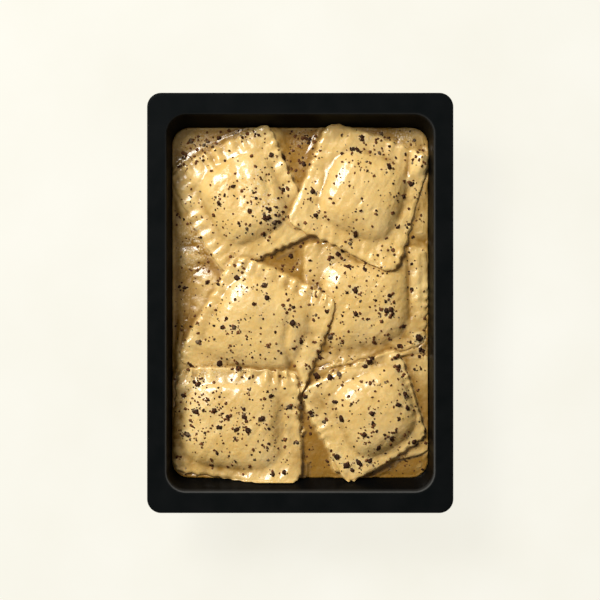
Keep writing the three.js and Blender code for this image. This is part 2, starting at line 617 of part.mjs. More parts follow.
// The flakes of crushed pepper: the first of each patch is its largest and lies at its middle.
// Of them all, the largest are kept that are clear of each other.
function pepperFlakes() {
  const next = stream(PEPPER_SEED);
  const flakes = [];
  for (const [cx, cy, spread, count, largest] of PEPPER) {
    for (let k = 0; k < count; k += 1) {
      const draw = Array.from({ length: FLAKE_DRAWS }, next);
      const away = k ? PATCH_SPREAD * spread : 0;
      flakes.push({
        x: cx + away * (draw[0] + draw[1] - 1),
        y: cy + away * (draw[2] + draw[3] - 1),
        size: largest * (k ? FLAKE_SMALLER + FLAKE_VARY * draw[4] : 1),
        turn: draw[5],
        width: FLAKE_NARROW + FLAKE_WIDER * draw[6],
      });
    }
  }
  flakes.sort((a, b) => b.size - a.size);
  const kept = [];
  for (const flake of flakes) {
    const touches = (other) => Math.hypot(other.x - flake.x, other.y - flake.y) < other.size + flake.size + GAP;
    if (!kept.some(touches)) kept.push(flake);
  }
  return kept.slice(0, FLAKE_LIMIT);
}

// One crushed peppercorn: a rough squashed lump, half sunk where it lies.
function flakeSolid({ x, y, size, turn, width }, z) {
  const lump = new THREE.IcosahedronGeometry(1, 0);
  lump.deleteAttribute("normal");
  lump.deleteAttribute("uv");
  lump.rotateX(turn * FLAKE_ROLL);
  lump.scale(size, size * width, size * FLAKE_FLATNESS);
  lump.rotateZ(turn * Math.PI * 2);
  lump.translate(x, y, z + size * FLAKE_STAND);
  const merged = mergeVertices(lump, SAME_PLACE);
  return new wasm.Manifold(
    new wasm.Mesh({
      numProp: 3,
      vertProperties: merged.attributes.position.array,
      triVerts: new Uint32Array(merged.index.array),
    }),
  );
}

// A raviolo with the flakes that lie on it. None lies near its edge, or where a higher raviolo covers it.
function pepperedSolid(raviolo, solid, above, flakes) {
  const facets = upwardFacets(solid.getMesh());
  const covered = highest(raviolo.mask.map((_, k) => (above.some((mask) => mask[k]) ? 1 : 0)), COVER_REACH);
  const edge = highest(raviolo.mask.map((inside) => 1 - inside), COVER_REACH);
  const lying = flakes.filter(({ x, y }) => !covered[cellOf(x, y)] && !edge[cellOf(x, y)]);
  return lying.reduce((all, flake) => all.add(flakeSolid(flake, surfaceHeight(facets, flake.x, flake.y))), solid);
}

// Rings of a rounded rectangle, all with the same count of points, and the solid between them.
function roundedRing({ x, y, r }, z) {
  const points = [];
  for (let corner = 0; corner < 4; corner += 1) {
    const [sx, sy] = [[1, 1], [-1, 1], [-1, -1], [1, -1]][corner];
    for (let k = 0; k <= CORNER_STEPS; k += 1) {
      const angle = ((corner + k / CORNER_STEPS) * Math.PI) / 2;
      points.push([sx * (x - r) + r * Math.cos(angle), sy * (y - r) + r * Math.sin(angle), z]);
    }
  }
  return points;
}
function loft(rings) {
  const positions = rings.flat();
  const count = rings[0].length;
  const triangles = [];
  for (let k = 1; k < rings.length; k += 1) {
    stitch(triangles, { first: (k - 1) * count, count }, { first: k * count, count });
  }
  const centreOf = (ring) => [0, 0, ring[0][2]];
  positions.push(centreOf(rings[0]), centreOf(rings.at(-1)));
  fan(triangles, { first: 0, count }, positions.length - 2, false);
  fan(triangles, { first: (rings.length - 1) * count, count }, positions.length - 1, true);
  return solidFrom(positions, triangles);
}

// The tray: from under the floor, out and up the outside, over the rim, and down the inside to the floor.
function traySolid() {
  const rings = [];
  const grown = (section, by) => ({ x: section.x + by, y: section.y + by, r: Math.max(LEAST_RADIUS, section.r + by) });
  const wall = (z, by) => rings.push(roundedRing(grown(mouthAt(z), by), z));
  const rim = (inset, z) => {
    const section = { x: TRAY_WIDTH / 2 - inset, y: TRAY_LENGTH / 2 - inset, r: RIM_RADIUS - inset * RIM_TAPER };
    rings.push(roundedRing(section, z));
  };
  const bend = (z, by) => grown(mouthAt(z), by - FLOOR_DRAW * (1 - z / FLOOR_ROUND) ** 2);
  const foot = grown(mouthAt(0), -FLOOR_ROUND);
  rings.push(roundedRing(grown(foot, -FOOT_WIDTH - FOOT_STEP), FOOT_STEP));
  rings.push(roundedRing(grown(foot, -FOOT_WIDTH), 0));
  rings.push(roundedRing(bend(0, SHEET / 4), 0));
  for (const z of BEND_HEIGHTS) rings.push(roundedRing(bend(z, SHEET), z));
  wall(TRAY_HEIGHT / 2, SHEET);
  const under = TRAY_HEIGHT - SHEET;
  const lipMiddle = LIP_ROUND * LIP_MIDDLE;
  wall(under - LIP_ROUND, SHEET);
  rings.push(roundedRing(grown(mouthAt(under), SHEET + LIP_ROUND), under));
  rim(SHEET + LIP_ROUND, under);
  rim(SHEET, under - LIP_ROUND);
  rim(SHEET, TRAY_HEIGHT - LIP_DROP);
  rim(0, TRAY_HEIGHT - LIP_DROP);
  rim(0, TRAY_HEIGHT - LIP_ROUND);
  rim(lipMiddle, TRAY_HEIGHT - lipMiddle);
  rim(LIP_ROUND, TRAY_HEIGHT);
  const mouth = mouthAt(TRAY_HEIGHT);
  rings.push(roundedRing(grown(mouth, LIP_ROUND), TRAY_HEIGHT));
  rings.push(roundedRing(grown(mouth, lipMiddle), TRAY_HEIGHT - lipMiddle));
  wall(TRAY_HEIGHT - LIP_ROUND, 0);
  wall(TRAY_HEIGHT / 2, 0);
  for (const z of BEND_HEIGHTS.toReversed()) rings.push(roundedRing(bend(z, 0), z + SHEET));
  rings.push(roundedRing(grown(foot, -FOOT_WIDTH), SHEET));
  rings.push(roundedRing(grown(foot, -FOOT_WIDTH - FOOT_STEP), FLOOR_TOP));
  return loft(rings);
}

// The sauce fills the tray up to its level, apart from where the lowest ravioli lie in it.
function sauceSolid() {
  const inside = (z, top) => {
    const section = mouthAt(z);
    const inset = 2 * GAP + (z < FLOOR_ROUND ? FLOOR_DRAW : 0);
    const ring = roundedRing({ x: section.x - inset, y: section.y - inset, r: section.r }, z);
    return top ? ring.map(([x, y]) => [x, y, sauceHeight(y)]) : ring;
  };
  const sauce = loft([
    inside(FLOOR_TOP + GAP),
    inside(FLOOR_ROUND + SHEET),
    inside(BED_LEVEL),
    inside(SAUCE_LEVEL, true),
  ]);
  const emptied = RAVIOLI.filter(isLow).reduce((rest, raviolo) => rest.subtract(pocketSolid(raviolo)), sauce);
  return emptied.decompose().sort((a, b) => b.volume() - a.volume())[0];
}

const POCKET_POINTS = 6;

// The outline of the hollow that a low raviolo lies in isn't held in by the tray's wall.
const hollowOf = (raviolo) => ({ ...raviolo, hollow: true });

function pocketSolid(raviolo) {
  const hollow = hollowOf(raviolo);
  const [a, , c] = raviolo.corners;
  const middle = [(a[0] + c[0]) / 2, (a[1] + c[1]) / 2];
  const outline = [];
  for (let k = 0; k < 4 * POCKET_POINTS; k += 1) {
    const [x, y] = place(hollow, ...ringPoint(hollow, 1, Math.floor(k / POCKET_POINTS), (k % POCKET_POINTS) / POCKET_POINTS));
    outline.push([middle[0] + (x - middle[0]) * BED_GROWTH, middle[1] + (y - middle[1]) * BED_GROWTH]);
  }
  const high = SAUCE_LEVEL + POCKET_HEIGHT;
  const level = (z) => outline.map(([x, y]) => [x, y, z]);
  const positions = [...level(BED_LEVEL), ...level(high)];
  const count = outline.length;
  const triangles = [];
  stitch(triangles, { first: 0, count }, { first: count, count });
  positions.push([...middle, BED_LEVEL], [...middle, high]);
  fan(triangles, { first: 0, count }, 2 * count, false);
  fan(triangles, { first: count, count }, 2 * count + 1, true);
  return solidFrom(positions, triangles);
}

// What the lowest ravioli lie on: the walls, the sauce, and the bed that is left for them in it.
const walls = new Float64Array(NX * NY);
let pile = new Float64Array(NX * NY);
for (let k = 0; k < NX * NY; k += 1) {
  const [x, y] = [((k % NX) - HALF_X) * CELL, (Math.floor(k / NX) - HALF_Y) * CELL];
  walls[k] = wallHeight(x, y);
  pile[k] = sauceHeight(y);
}
RAVIOLI.forEach((raviolo, index) => {
  const next = stream(FIRST_SEED + SEED_STEP * index);
  raviolo.phases = Array.from({ length: 4 }, () => Array.from({ length: 3 }, () => 2 * Math.PI * next()));
  raviolo.plain = isLow(raviolo);
  raviolo.wall ??= raviolo.plain ? LOW_WALL : USUAL_WALL;
  raviolo.mask = coverOf(raviolo);
  if (!raviolo.plain) return;
  const bed = coverOf(hollowOf(raviolo), BED_GROWTH);
  pile = pile.map((height, k) => (bed[k] ? BED_LEVEL : height));
});

const meal = new THREE.Group();
function addPiece(name, solid, material) {
  const mesh = new THREE.Mesh(geometryOf(solid), material);
  mesh.name = name;
  meal.add(mesh);
}

const blackPlastic = new THREE.MeshStandardMaterial({ color: 0x15181a, roughness: 0.45, metalness: 0 });
const creamSauce = new THREE.MeshStandardMaterial({ color: 0xd9b878, roughness: 0.25, metalness: 0 });
const pasta = new THREE.MeshStandardMaterial({ color: 0xe6c078, roughness: 0.3, metalness: 0 });

addPiece("tray", traySolid(), blackPlastic);
const sauce = sauceSolid();
addPiece("sauce", sauce, creamSauce);
const flakes = pepperFlakes();
const lower = [sauce];
RAVIOLI.forEach((raviolo, index) => {
  settle(raviolo, pile);
  const bare = clearedSolid(raviolo, pile, lower);
  const above = RAVIOLI.slice(index + 1).map((other) => other.mask);
  const solid = pepperedSolid(raviolo, bare, above, flakes);
  pile = raised(pile, upwardFacets(solid.getMesh()));
  lower.push(solid);
  addPiece(raviolo.name, solid, pasta);
});

export default meal;
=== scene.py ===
import math

import bpy
import numpy as np
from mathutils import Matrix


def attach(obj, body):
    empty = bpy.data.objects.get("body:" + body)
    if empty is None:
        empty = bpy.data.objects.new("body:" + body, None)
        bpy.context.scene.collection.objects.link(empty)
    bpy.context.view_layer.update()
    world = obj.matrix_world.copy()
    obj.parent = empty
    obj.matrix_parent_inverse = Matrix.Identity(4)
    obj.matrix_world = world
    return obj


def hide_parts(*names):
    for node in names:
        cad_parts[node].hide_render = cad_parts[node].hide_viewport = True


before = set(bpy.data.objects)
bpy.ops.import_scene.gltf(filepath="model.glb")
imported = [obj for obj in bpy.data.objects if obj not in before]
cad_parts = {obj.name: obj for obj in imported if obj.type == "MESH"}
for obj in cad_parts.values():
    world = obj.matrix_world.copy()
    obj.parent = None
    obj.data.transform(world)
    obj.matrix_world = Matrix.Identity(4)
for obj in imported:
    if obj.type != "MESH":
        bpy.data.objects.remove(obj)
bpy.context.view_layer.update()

MM = 0.001

# The tray, in millimetres
TRAY_LENGTH = 188.0
TRAY_WIDTH = 137.0
TRAY_HEIGHT = 36.0
RIM_SIDE = 8.7  # the flat rim's width along the two long sides
RIM_END = 9.72  # and along the two short ends
RIM_RADIUS = 6.3
RIM_TAPER = 0.6  # how much this radius shrinks for each millimetre inwards
MOUTH_RADIUS = 8.8
FLOOR_RADIUS = 7.0
LEAST_RADIUS = 3.0
SIDE_SLOPE = 0.095  # how far a long wall leans in for each millimetre down
END_SLOPE = 0.29  # and an end wall
SHEET = 0.8  # the plastic's thickness
LIP_DROP = 2.2  # how far the rim's outer edge turns down
LIP_ROUND = 0.8
LIP_BEVEL = 0.15
LIP_FLAT = (0.8, 0.2)  # where the lip's lower edge is flat, as shares of the sheet
LIP_EDGE = 0.6  # the first ring of the flat rim beyond a rounding
RIM_UNDERSIDE = 2.5
FLOOR_ROUND = 5.0  # the rounding between wall and floor
FLOOR_DRAW = 2.75  # how far it draws the wall in at the floor
FOOT_WIDTH = 7.0  # the ring that the tray stands on
FOOT_STEP = 0.9  # how far the floor inside that ring is raised
FOOT_EDGE = 0.6
FOOT_RISE = 0.04
PANEL_BORDER = 6.0
BEVEL = 0.25
BEVEL_DROP = 0.1
BEND_HEIGHTS = (0.25, 0.5, 1.0, 1.8, 2.8, 4.0)
WALL_HEIGHTS = (6.0, 12.0, 20.0, 28.0, 33.0)
CORNER_STEPS = 14
STRAIGHT_STEPS = 8
MOUTH_X = TRAY_WIDTH / 2 - RIM_SIDE
MOUTH_Y = TRAY_LENGTH / 2 - RIM_END
FLOOR_TOP = FOOT_STEP + SHEET

# The sauce
SAUCE_LEVEL = 20.0
SAUCE_TILT = 0.006  # it stands a little higher towards the back
SAUCE_WAVES = ((0.18, 21, 91), (0.08, 8, 92))  # height, length and seed
CREEP = 0.9  # how far it is drawn up the tray's wall
CREEP_REACH = 1.1
DRAWN_UP = 1.1  # and against the ravioli
SAUCE_GRID = (180, 250)
SAUCE_DEPTHS = (16.0, 10.0, 6.0, FLOOR_TOP + 0.4)
SAUCE_INSET = 0.6  # how far its sides stay off the wall below the level
BED_LEVEL = 18.1  # what the lowest ravioli lie on, inside the sauce
BED_GROWTH = 1.035  # the hollow for each of them is this much larger than it

# The ravioli
GAP = 0.32  # between any two pieces
DOUGH = 1.45  # the flat border's thickness
DOUGH_EDGE = 1.05  # and at its cut edge
EDGE_START = 0.93  # where the border starts to thin towards that edge
LEAST_DOUGH = 0.8
FLUTES = 10  # flutes on each side of a raviolo
SCALLOP = 0.45  # how far the fluted edge swings out and in
FLUTE_FADE = 10  # how suddenly the flutes fade out at the corners
FLUTE_WANDER = ((1.2, 4.3), (0.7, 9.7))  # how unevenly they are spaced: radians, and pace along the edge
FLUTE_WEAK = 0.6  # how strong they are at the mean
FLUTE_VARY = 0.4  # and how much that varies
VARY_PACE = 3.7
CRIMP_DEPTH = 0.42  # the ridges that the cutter leaves across the border
CRIMP_START = 0.66  # where they start, as a share of the raviolo
CRIMP_WIDTH = 0.24
OUTLINE_BEND = 0.45  # the slow bends in a raviolo's outline
BEND_PACE = 2.9
USUAL_HALF = 24.0  # half the width of a usual raviolo
CORNER_ROUND = 0.07  # how far its corners are drawn in, as a share of that
CORNER_POWER = 8  # how near to the edge those changes of the outline stay
DOME_POWER = 4.0  # 2 makes a round filling, more a flatter one with steeper sides
DOME_FOOT = 0.015  # how softly it meets the border
SQUARENESS = 3.4  # 2 makes a filling that is round from above, more a squarer one
CROWN_START = 1.5  # how far round the filling the top is smoother than what carries it
SAG = 0.022  # how much the dough gives between supports, for each settling step
SETTLE_STEPS = 110
SETTLE_REACH = 6  # grid cells over which one step evens the dough out
FULL_RISE = 3  # fillings of this height and more have lumps at full strength
LUMPS = (0.3, 15)  # height and length of the lumps on a filling
RIPPLES = (0.3, 9)  # and of the ripples of its border
FINE_WAVES = ((0.12, 4.8), (0.05, 2.4))  # and of the fine unevenness all over
CUT_START = 0.972  # where the cut edge turns down
CUT_POWER = 1.5
CUT_DEPTH = 0.55  # how far it does, as a share of the way to the underside
UNDER_RINGS = (0.995, 0.93, 0.8, 0.5)
TOP_GRID = 151
LOW_GRID = 91
FINE_GRID = 241
USUAL_FILLING = (0.7, 0.7)
USUAL_FLUTES = (0.5, 0.5, 0.5, 0.5)
LOW_FLUTES = (0.1, 0.1, 0.1, 0.1)
USUAL_WALL = 24.0
LOW_WALL = 17.0  # the lowest ravioli keep below the sauce
SIDE_WALL = 22.5  # no edge lies higher against the tray's sides, which are steep

# From the lowest raviolo to the highest. Corners: back left, back right, front right, front left.
# rise is the filling's height over the border, filling its half sizes as shares of the raviolo, shift its
# offset, and wall how high its edge may lie against the tray's ends. Sauce isn't drawn over a clear one.
# Flutes: how strongly the back, right, front and left edges are crimped.
# Bumps: x, y, half length, half width, direction in degrees, height; a groove has a height below 0.
RAVIOLI = [
    dict(name="raviolo_low_middle", rise=0.6,
         corners=[(-31.1, 39.6), (15.4, 41.8), (17.7, -3.4), (-29.3, -5.7)]),
    dict(name="raviolo_low_front_corner", rise=0.2,
         corners=[(17.7, -35), (55.6, -35), (56.6, -76.4), (16.8, -78.2)]),
    dict(name="raviolo_low_back_middle", rise=0.5,
         corners=[(-14.9, 79), (27.6, 79), (29.4, 32.8), (-15.8, 31.9)]),
    dict(name="raviolo_low_front_middle", rise=0.4,
         corners=[(-17.6, -37.3), (24.5, -37.3), (23.1, -79), (-16.2, -79)]),
    dict(name="raviolo_low_back_left", rise=0.7,
         corners=[(-57.2, 78.6), (-10.4, 79), (-8.5, 31.9), (-57.2, 30)]),
    dict(name="raviolo_low_back_right", rise=0.5,
         corners=[(16.8, 78.4), (57.2, 78.4), (57.4, 30), (15, 31)]),
    dict(name="raviolo_low_front_left", rise=0.6,
         corners=[(-57.2, -31.4), (-11.7, -32.8), (-10.4, -78.8), (-57.2, -77.8)]),
    dict(name="raviolo_low_front_right", rise=0.8, clear=True, wall=22,
         corners=[(11.3, -29.6), (59.5, -22.4), (59.5, -68.5), (14.1, -78.4)]),
    dict(name="raviolo_low_left", rise=2.2, filling=(0.78, 0.76), shift=(-0.1, 0), clear=True,
         corners=[(-53.5, 24.7), (-8.6, 12), (-5, -24), (-54, -23.4)]),
    dict(name="raviolo_middle_right", rise=4.6, filling=(0.72, 0.74), shift=(-0.04, -0.06),
         flutes=(0.2, 0.25, 0.2, 0.15),
         bumps=[(49.4, 9, 18, 1.1, 92, -0.7), (53.6, 10, 16, 1.6, 92, 0.6),
                (22.5, -27.5, 13, 1.8, 12, 0.9)],
         corners=[(0.6, 28.2), (58, 26.6), (58.2, -19.4), (3, -31)]),
    dict(name="raviolo_back_left", rise=5.0, filling=(0.69, 0.7), shift=(0.03, 0.02), wall=30,
         flutes=(1.8, 0.4, 0.2, 0.75),
         bumps=[(-28.4, 54, 12, 2.6, 93, -0.75), (-22.3, 55, 12, 2.8, 95, 0.6),
                (-14.5, 50, 9, 1.8, 96, -0.6), (-40, 53, 7, 3.4, 70, 0.7), (-33, 64, 17, 3.6, 28, 0.7)],
         corners=[(-61.6, 57.8), (-14.4, 83.4), (7, 32), (-34.8, 11.8)]),
    dict(name="raviolo_front_right", rise=5.2, filling=(0.74, 0.78), shift=(0.19, -0.02), wall=29,
         flutes=(0.2, 0.5, 0.3, 0.35),
         bumps=[(20.5, -26.4, 6.6, 2, 14, 1.7), (33.4, -23.6, 5, 1.8, 8, 1.3),
                (22.5, -29.2, 12.5, 1.4, 7, -1.2), (11, -47, 7, 0.8, -58, -0.35),
                (14, -55, 6, 0.7, -62, -0.3)],
         corners=[(-0.8, -39.8), (43.8, -19.4), (58.6, -60.8), (20.6, -83.4)]),
    dict(name="raviolo_back_right", rise=5.2, filling=(0.7, 0.68), shift=(0.05, 0.0), wall=29,
         flutes=(0.55, 0.5, 0.3, 0.5),
         bumps=[(54.8, 63.6, 5.8, 3.4, 84, 3), (49.2, 63, 5.4, 1.1, 84, -1.2),
                (27.5, 46, 3, 0.7, 48, -0.3), (32.5, 42, 3, 0.6, 30, -0.3)],
         corners=[(12.6, 82.6), (60.8, 67.4), (43.2, 12.8), (-6.6, 35.8)]),
    dict(name="raviolo_middle_left", rise=4.4, filling=(0.76, 0.78), shift=(-0.06, 0.04),
         flutes=(1.5, 0.25, 0.1, 0.6),
         bumps=[(-6.2, -13, 9, 1.9, 80, -0.9), (-4.9, -26.5, 6, 1.6, 108, -1.15),
                (-0.6, -34, 6, 1.3, 108, -0.8), (1.6, -26, 8, 3.4, 76, 1)],
         corners=[(-30.6, 22.8), (17.2, 2.4), (0.6, -44.6), (-57, -27.4)]),
    dict(name="raviolo_front_left", rise=5.4, filling=(0.81, 0.77), shift=(-0.08, -0.04), wall=27,
         flutes=(2.2, 0.5, 0.2, 0.5),
         bumps=[(-6, -57, 8, 1.8, 90, 0.5), (-10, -56.5, 9, 1.9, 88, -0.8),
                (-31, -37.8, 23, 3.6, 0, 1.5), (-31, -31, 26, 2.6, 0, -0.6)],
         corners=[(-56.4, -29.6), (-0.2, -30.2), (0.2, -82.8), (-58.6, -77.6)]),
]

# Patches of crushed pepper: x, y, spread, count, half the length of the largest flake.
LARGE_PEPPER = [
    (25.7, 69.6, 5.4, 12, 1.25), (50.7, 54, 1.7, 4, 1.3), (40.5, 61.4, 1.6, 3, 1.1),
    (5.7, 50.5, 0, 1, 1.35), (7.1, 39.8, 0, 1, 1.15), (25, 31.2, 0, 1, 1.6),
    (-14.3, 38.4, 3.5, 12, 1.4), (-7.7, 66.2, 0.4, 1, 1.15), (-36.9, 45.1, 0.4, 1, 1.2),
    (-30.3, 52.7, 0, 1, 1.1), (-13.2, 67.2, 0, 1, 1.2), (-49.8, 73.9, 1.2, 3, 1.1),
    (17.2, 22.1, 3.1, 7, 1.1), (29.2, 15.3, 0.5, 1, 1.1), (25, 5.4, 1.4, 5, 1.3),
    (39, -3.5, 3.3, 12, 1.25), (13.7, -15.6, 1.7, 4, 1.15), (9, -24.6, 0, 1, 1.3),
    (54.2, -16.1, 0.9, 3, 1.75), (54.7, -21.4, 0.9, 2, 1.25), (45.2, -19.6, 0.8, 2, 1.15),
    (51.7, -63.1, 0, 1, 1.3), (-28.7, 11.4, 0, 1, 1.3), (-16.3, 8.1, 1.7, 5, 1.1),
    (-15, 2.4, 0.4, 1, 1.25), (-3.4, -9.1, 0, 1, 1.5), (-29.9, -11.2, 1.2, 4, 1.1),
    (0.4, -17.7, 0, 1, 1.1), (-36.7, -27.5, 0.3, 1, 1.7), (-28, -29.4, 0.8, 3, 1.15),
    (-46.8, -37.2, 1.1, 4, 1.2), (-47.3, -49.5, 0.9, 4, 1.4), (-38.9, -48.7, 0.6, 2, 1.2),
    (-36.7, -56.3, 0.4, 2, 1.55), (-51.2, -59.6, 0.9, 3, 1.5), (-28.9, -57.2, 0.4, 1, 1.25),
    (-23.7, -57.7, 0.5, 2, 1.35), (-32.8, -51.5, 1.1, 4, 1.1), (-25, -51.8, 1.6, 6, 1.15),
    (-16.9, -52.3, 1.2, 4, 1.3), (-13.2, -42.1, 0, 1, 1.35), (-4.8, -47.3, 1.1, 4, 1.2),
    (-7.3, -76.7, 0.3, 1, 1.15), (7.5, -33.1, 0, 1, 1.8), (13.3, -33.7, 0.4, 1, 1.3),
    (17.6, -32.3, 0.4, 1, 1.1), (2.4, -42.6, 0.8, 3, 1.1), (4.7, -49.8, 1.4, 5, 1.1),
    (15.5, -44.9, 0.2, 1, 1.45), (18.6, -52.4, 0.3, 1, 1.8), (32.4, -49.8, 0.6, 2, 1.4),
    (28.9, -59.4, 1.7, 4, 1.1), (35.5, -65.8, 0.3, 1, 1.25), (44.2, -46, 0.4, 2, 1.35),
    (47.5, -41.3, 0.9, 3, 1.15), (48.5, -47.5, 0.5, 2, 1.1), (31.6, -27, 1.6, 4, 1.3),
    (16.8, -69.9, 0.4, 2, 1.45), (20.9, -73.7, 0.5, 2, 1.6), (23.6, -75.9, 0.4, 1, 1.1),
    (26.5, -72.4, 1.4, 4, 1.25), (31.6, -72, 1.4, 4, 1.1),
]
SMALL_PEPPER = [
    (35.9, 68, 2.3, 5, 0.9), (28.1, 75.4, 1.7, 4, 0.9), (40.5, 71.1, 5.4, 7, 0.6),
    (53.8, 64.9, 3.1, 14, 0.75), (47.1, 48.2, 3.9, 8, 0.85), (44.4, 34.5, 1.2, 3, 0.9),
    (42.1, 24, 1.6, 3, 0.8), (30.4, 59.8, 8.6, 12, 0.5), (16.4, 57.5, 3.5, 6, 0.55),
    (25, 41.2, 6.2, 7, 0.45), (4.7, 47.4, 2.3, 5, 0.6), (11.3, 39.2, 1.9, 3, 0.6),
    (22.6, 26.8, 3.1, 4, 0.8), (35.1, 21.7, 3.9, 5, 0.6), (9, 69.2, 3.5, 6, 0.6),
    (-22.9, 41.6, 1.9, 4, 1), (-21, 49.7, 4.3, 12, 0.6), (-17.8, 56, 3.9, 8, 0.5),
    (-7.7, 51.3, 2.2, 8, 0.85), (-7.7, 41.2, 2.3, 5, 0.75), (-5.4, 59.1, 2.7, 4, 0.6),
    (-24.1, 33.4, 2.7, 6, 0.9), (-16.3, 31, 1.9, 3, 0.85), (-35, 34.2, 5.4, 8, 0.5),
    (-34.2, 48.6, 1.9, 3, 0.7), (-49.8, 48.2, 4.7, 7, 0.5), (-44.7, 38.8, 3.1, 5, 0.45),
    (-19, 76.2, 3.1, 7, 0.65), (-28, 14.7, 7, 4, 0.4), (-36.9, 75, 1.7, 4, 1),
    (-53.3, 68.4, 2.2, 5, 0.8), (-55.2, 62.2, 1.9, 3, 0.7), (-26.4, 75.4, 1.6, 3, 0.7),
    (4.3, 74.6, 2.7, 7, 1), (1.6, 63.3, 2.7, 8, 1), (21.9, 16.6, 2.3, 6, 0.85),
    (16.4, 10.8, 5.4, 6, 0.45), (40.5, 3.4, 2.3, 5, 1), (35.1, 12.4, 2.7, 4, 0.55),
    (50.7, 17.8, 1.6, 3, 0.7), (50.7, 6.1, 1.2, 3, 0.8), (-4.2, 21.3, 0.9, 3, 0.95),
    (-3.4, 15.5, 1.6, 4, 0.6), (25, -5.1, 1.6, 4, 0.9), (30.4, -7.4, 2.3, 4, 0.6),
    (47.1, -10.7, 1.6, 3, 0.9), (39.8, -14.4, 2.3, 5, 0.7), (33.5, -17.9, 1.6, 4, 0.8),
    (19.1, -17.2, 1.6, 3, 0.6), (19.1, -5.9, 3.1, 3, 0.55), (45.2, -69.3, 2.3, 3, 0.45),
    (-24.1, 6.9, 3.9, 6, 0.5), (-37.3, 8.5, 1.7, 4, 0.8), (7.1, 3, 3.5, 7, 0.6),
    (-3.1, -2, 3.1, 9, 0.8), (-7.7, -1, 1.1, 3, 0.8), (-21, -0.4, 1.2, 3, 0.9),
    (7.1, -5.5, 3.1, 5, 0.6), (11.9, -3.9, 1.2, 3, 0.85), (-35, -10.9, 1.1, 3, 1),
    (-33.4, -7, 1.2, 3, 0.7), (-46.6, -17.8, 1.2, 4, 0.9), (-46.6, -9, 1.2, 3, 0.6),
    (-38.9, -16.4, 2.7, 4, 0.55), (-24.1, -16.4, 3.5, 6, 0.45), (-31.5, -21.4, 1.9, 5, 0.5),
    (-21.7, -24.6, 3.1, 5, 0.5), (-14.7, -19.1, 1.9, 3, 0.7), (-2.7, -20.7, 1.2, 3, 0.6),
    (4, -28.8, 1.9, 4, 0.6), (6.7, -17.9, 1.2, 3, 0.7), (-42.4, 9.3, 1.1, 3, 1),
    (-52.7, 6.9, 1.4, 5, 0.9), (-42, 18.6, 1.9, 3, 0.6), (-49.8, -28.4, 1.7, 4, 0.9),
    (-44.7, -34.3, 3.1, 10, 0.6), (-49, -43.2, 4.7, 16, 0.6), (-41.6, -44, 3.9, 12, 0.7),
    (-49.4, -55.7, 1.9, 5, 0.8), (-22.9, -39.3, 3.1, 8, 0.6), (-36.5, -42.5, 2.3, 6, 0.6),
    (-9.3, -33.1, 2.3, 4, 0.6), (-53.3, -42.1, 0.9, 3, 0.95), (-53.6, -60.4, 1.2, 3, 0.6),
    (-43.1, -58.8, 3.1, 7, 0.6), (-44.3, -63.9, 1.9, 4, 0.7), (-29.5, -61.1, 1.2, 3, 0.7),
    (-37.7, -68.1, 1.6, 5, 0.75), (-32.2, -69.3, 1.4, 3, 0.5), (-17.1, -64.2, 3.1, 6, 0.55),
    (-6.9, -61.9, 1.1, 4, 0.8), (-1.5, -63.5, 1.9, 5, 0.75), (-54.4, -70.1, 1.6, 3, 0.5),
    (-40, -74, 1.1, 3, 0.7), (-12.4, -77.6, 0.9, 3, 1), (11, -54, 1.4, 4, 0.9),
    (23, -45.6, 2.2, 7, 0.6), (31.6, -36.2, 1.7, 8, 0.7), (32.7, -54.5, 1.1, 5, 0.85),
    (41.3, -61.5, 2.3, 9, 0.9), (47.5, -60, 0.9, 3, 0.7), (43.3, -57.6, 0.9, 4, 0.7),
    (44.6, -52.2, 0.9, 3, 0.8), (43.3, -24.9, 1.2, 5, 0.9), (44.8, -28.8, 1.7, 6, 1),
    (46.8, -32.7, 1.1, 4, 0.8), (12.5, -72.4, 1.1, 3, 0.7),
    (1, 75, 5, 14, 0.8), (-24, 77, 5, 9, 0.8), (-44, 72, 6, 14, 0.85), (-53, 66, 3, 7, 0.7),
    (37, 77, 4, 7, 0.8), (52, 74, 3, 5, 0.7), (-53, 38, 3, 6, 0.6), (-47, 15, 5, 9, 0.6),
    (-48, -6, 5, 8, 0.5), (55, 40, 2, 5, 0.6), (55, -30, 2, 4, 0.6), (48, -72, 5, 7, 0.5),
    (-8, 17, 4, 7, 0.7), (3, -70, 4, 5, 0.45), (-50, -62, 4, 9, 0.55), (-35, -50, 9, 20, 0.6),
    (-10, -66, 5, 8, 0.5), (30, 10, 8, 12, 0.45), (-28, -8, 9, 12, 0.45), (33, -58, 8, 14, 0.5),
]
# Patches of pale froth on the food, some of them painted highlights on the ravioli: x, y, radius, strength.
FROTH_AND_HIGHLIGHTS = [
    (-47, 27, 7, 0.8), (33, 75.5, 6, 0.5), (47, 76, 5, 1), (-49, 33, 5, 0.6),
    (-14, 44, 6, 0.5), (-45, 73, 7, 0.7), (-18, -2, 5, 0.5), (-42, -31, 5, 0.6),
    (1, 75, 6, 0.35), (-54, 66, 5, 0.5), (55, -19, 3, 0.9), (-50, 20, 6, 0.5), (-24, 78, 6, 0.4),
    (-46, -39, 8, 0.75), (-29, -38, 8, 0.5), (-21, 57, 6, 0.7), (-20, 49, 5, 0.5), (-14, 44, 5, 0.5),
    (-27, 9, 7, 0.55), (5, 4, 6, 0.4), (-26, 70, 8, 0.4),
]
# Where the sauce is drawn up against the ravioli more (above 0) or less than usual: x, y, radius, height.
BRIDGES = [
    (20, -30, 11, 2.4), (50, -21, 8, 2), (-30, 20, 6, 1.2), (-52, -28, 6, 1.5), (1, -64, 13, 1.6),
    (0, 64, 11, -1), (-42, 72, 13, -0.9),
]
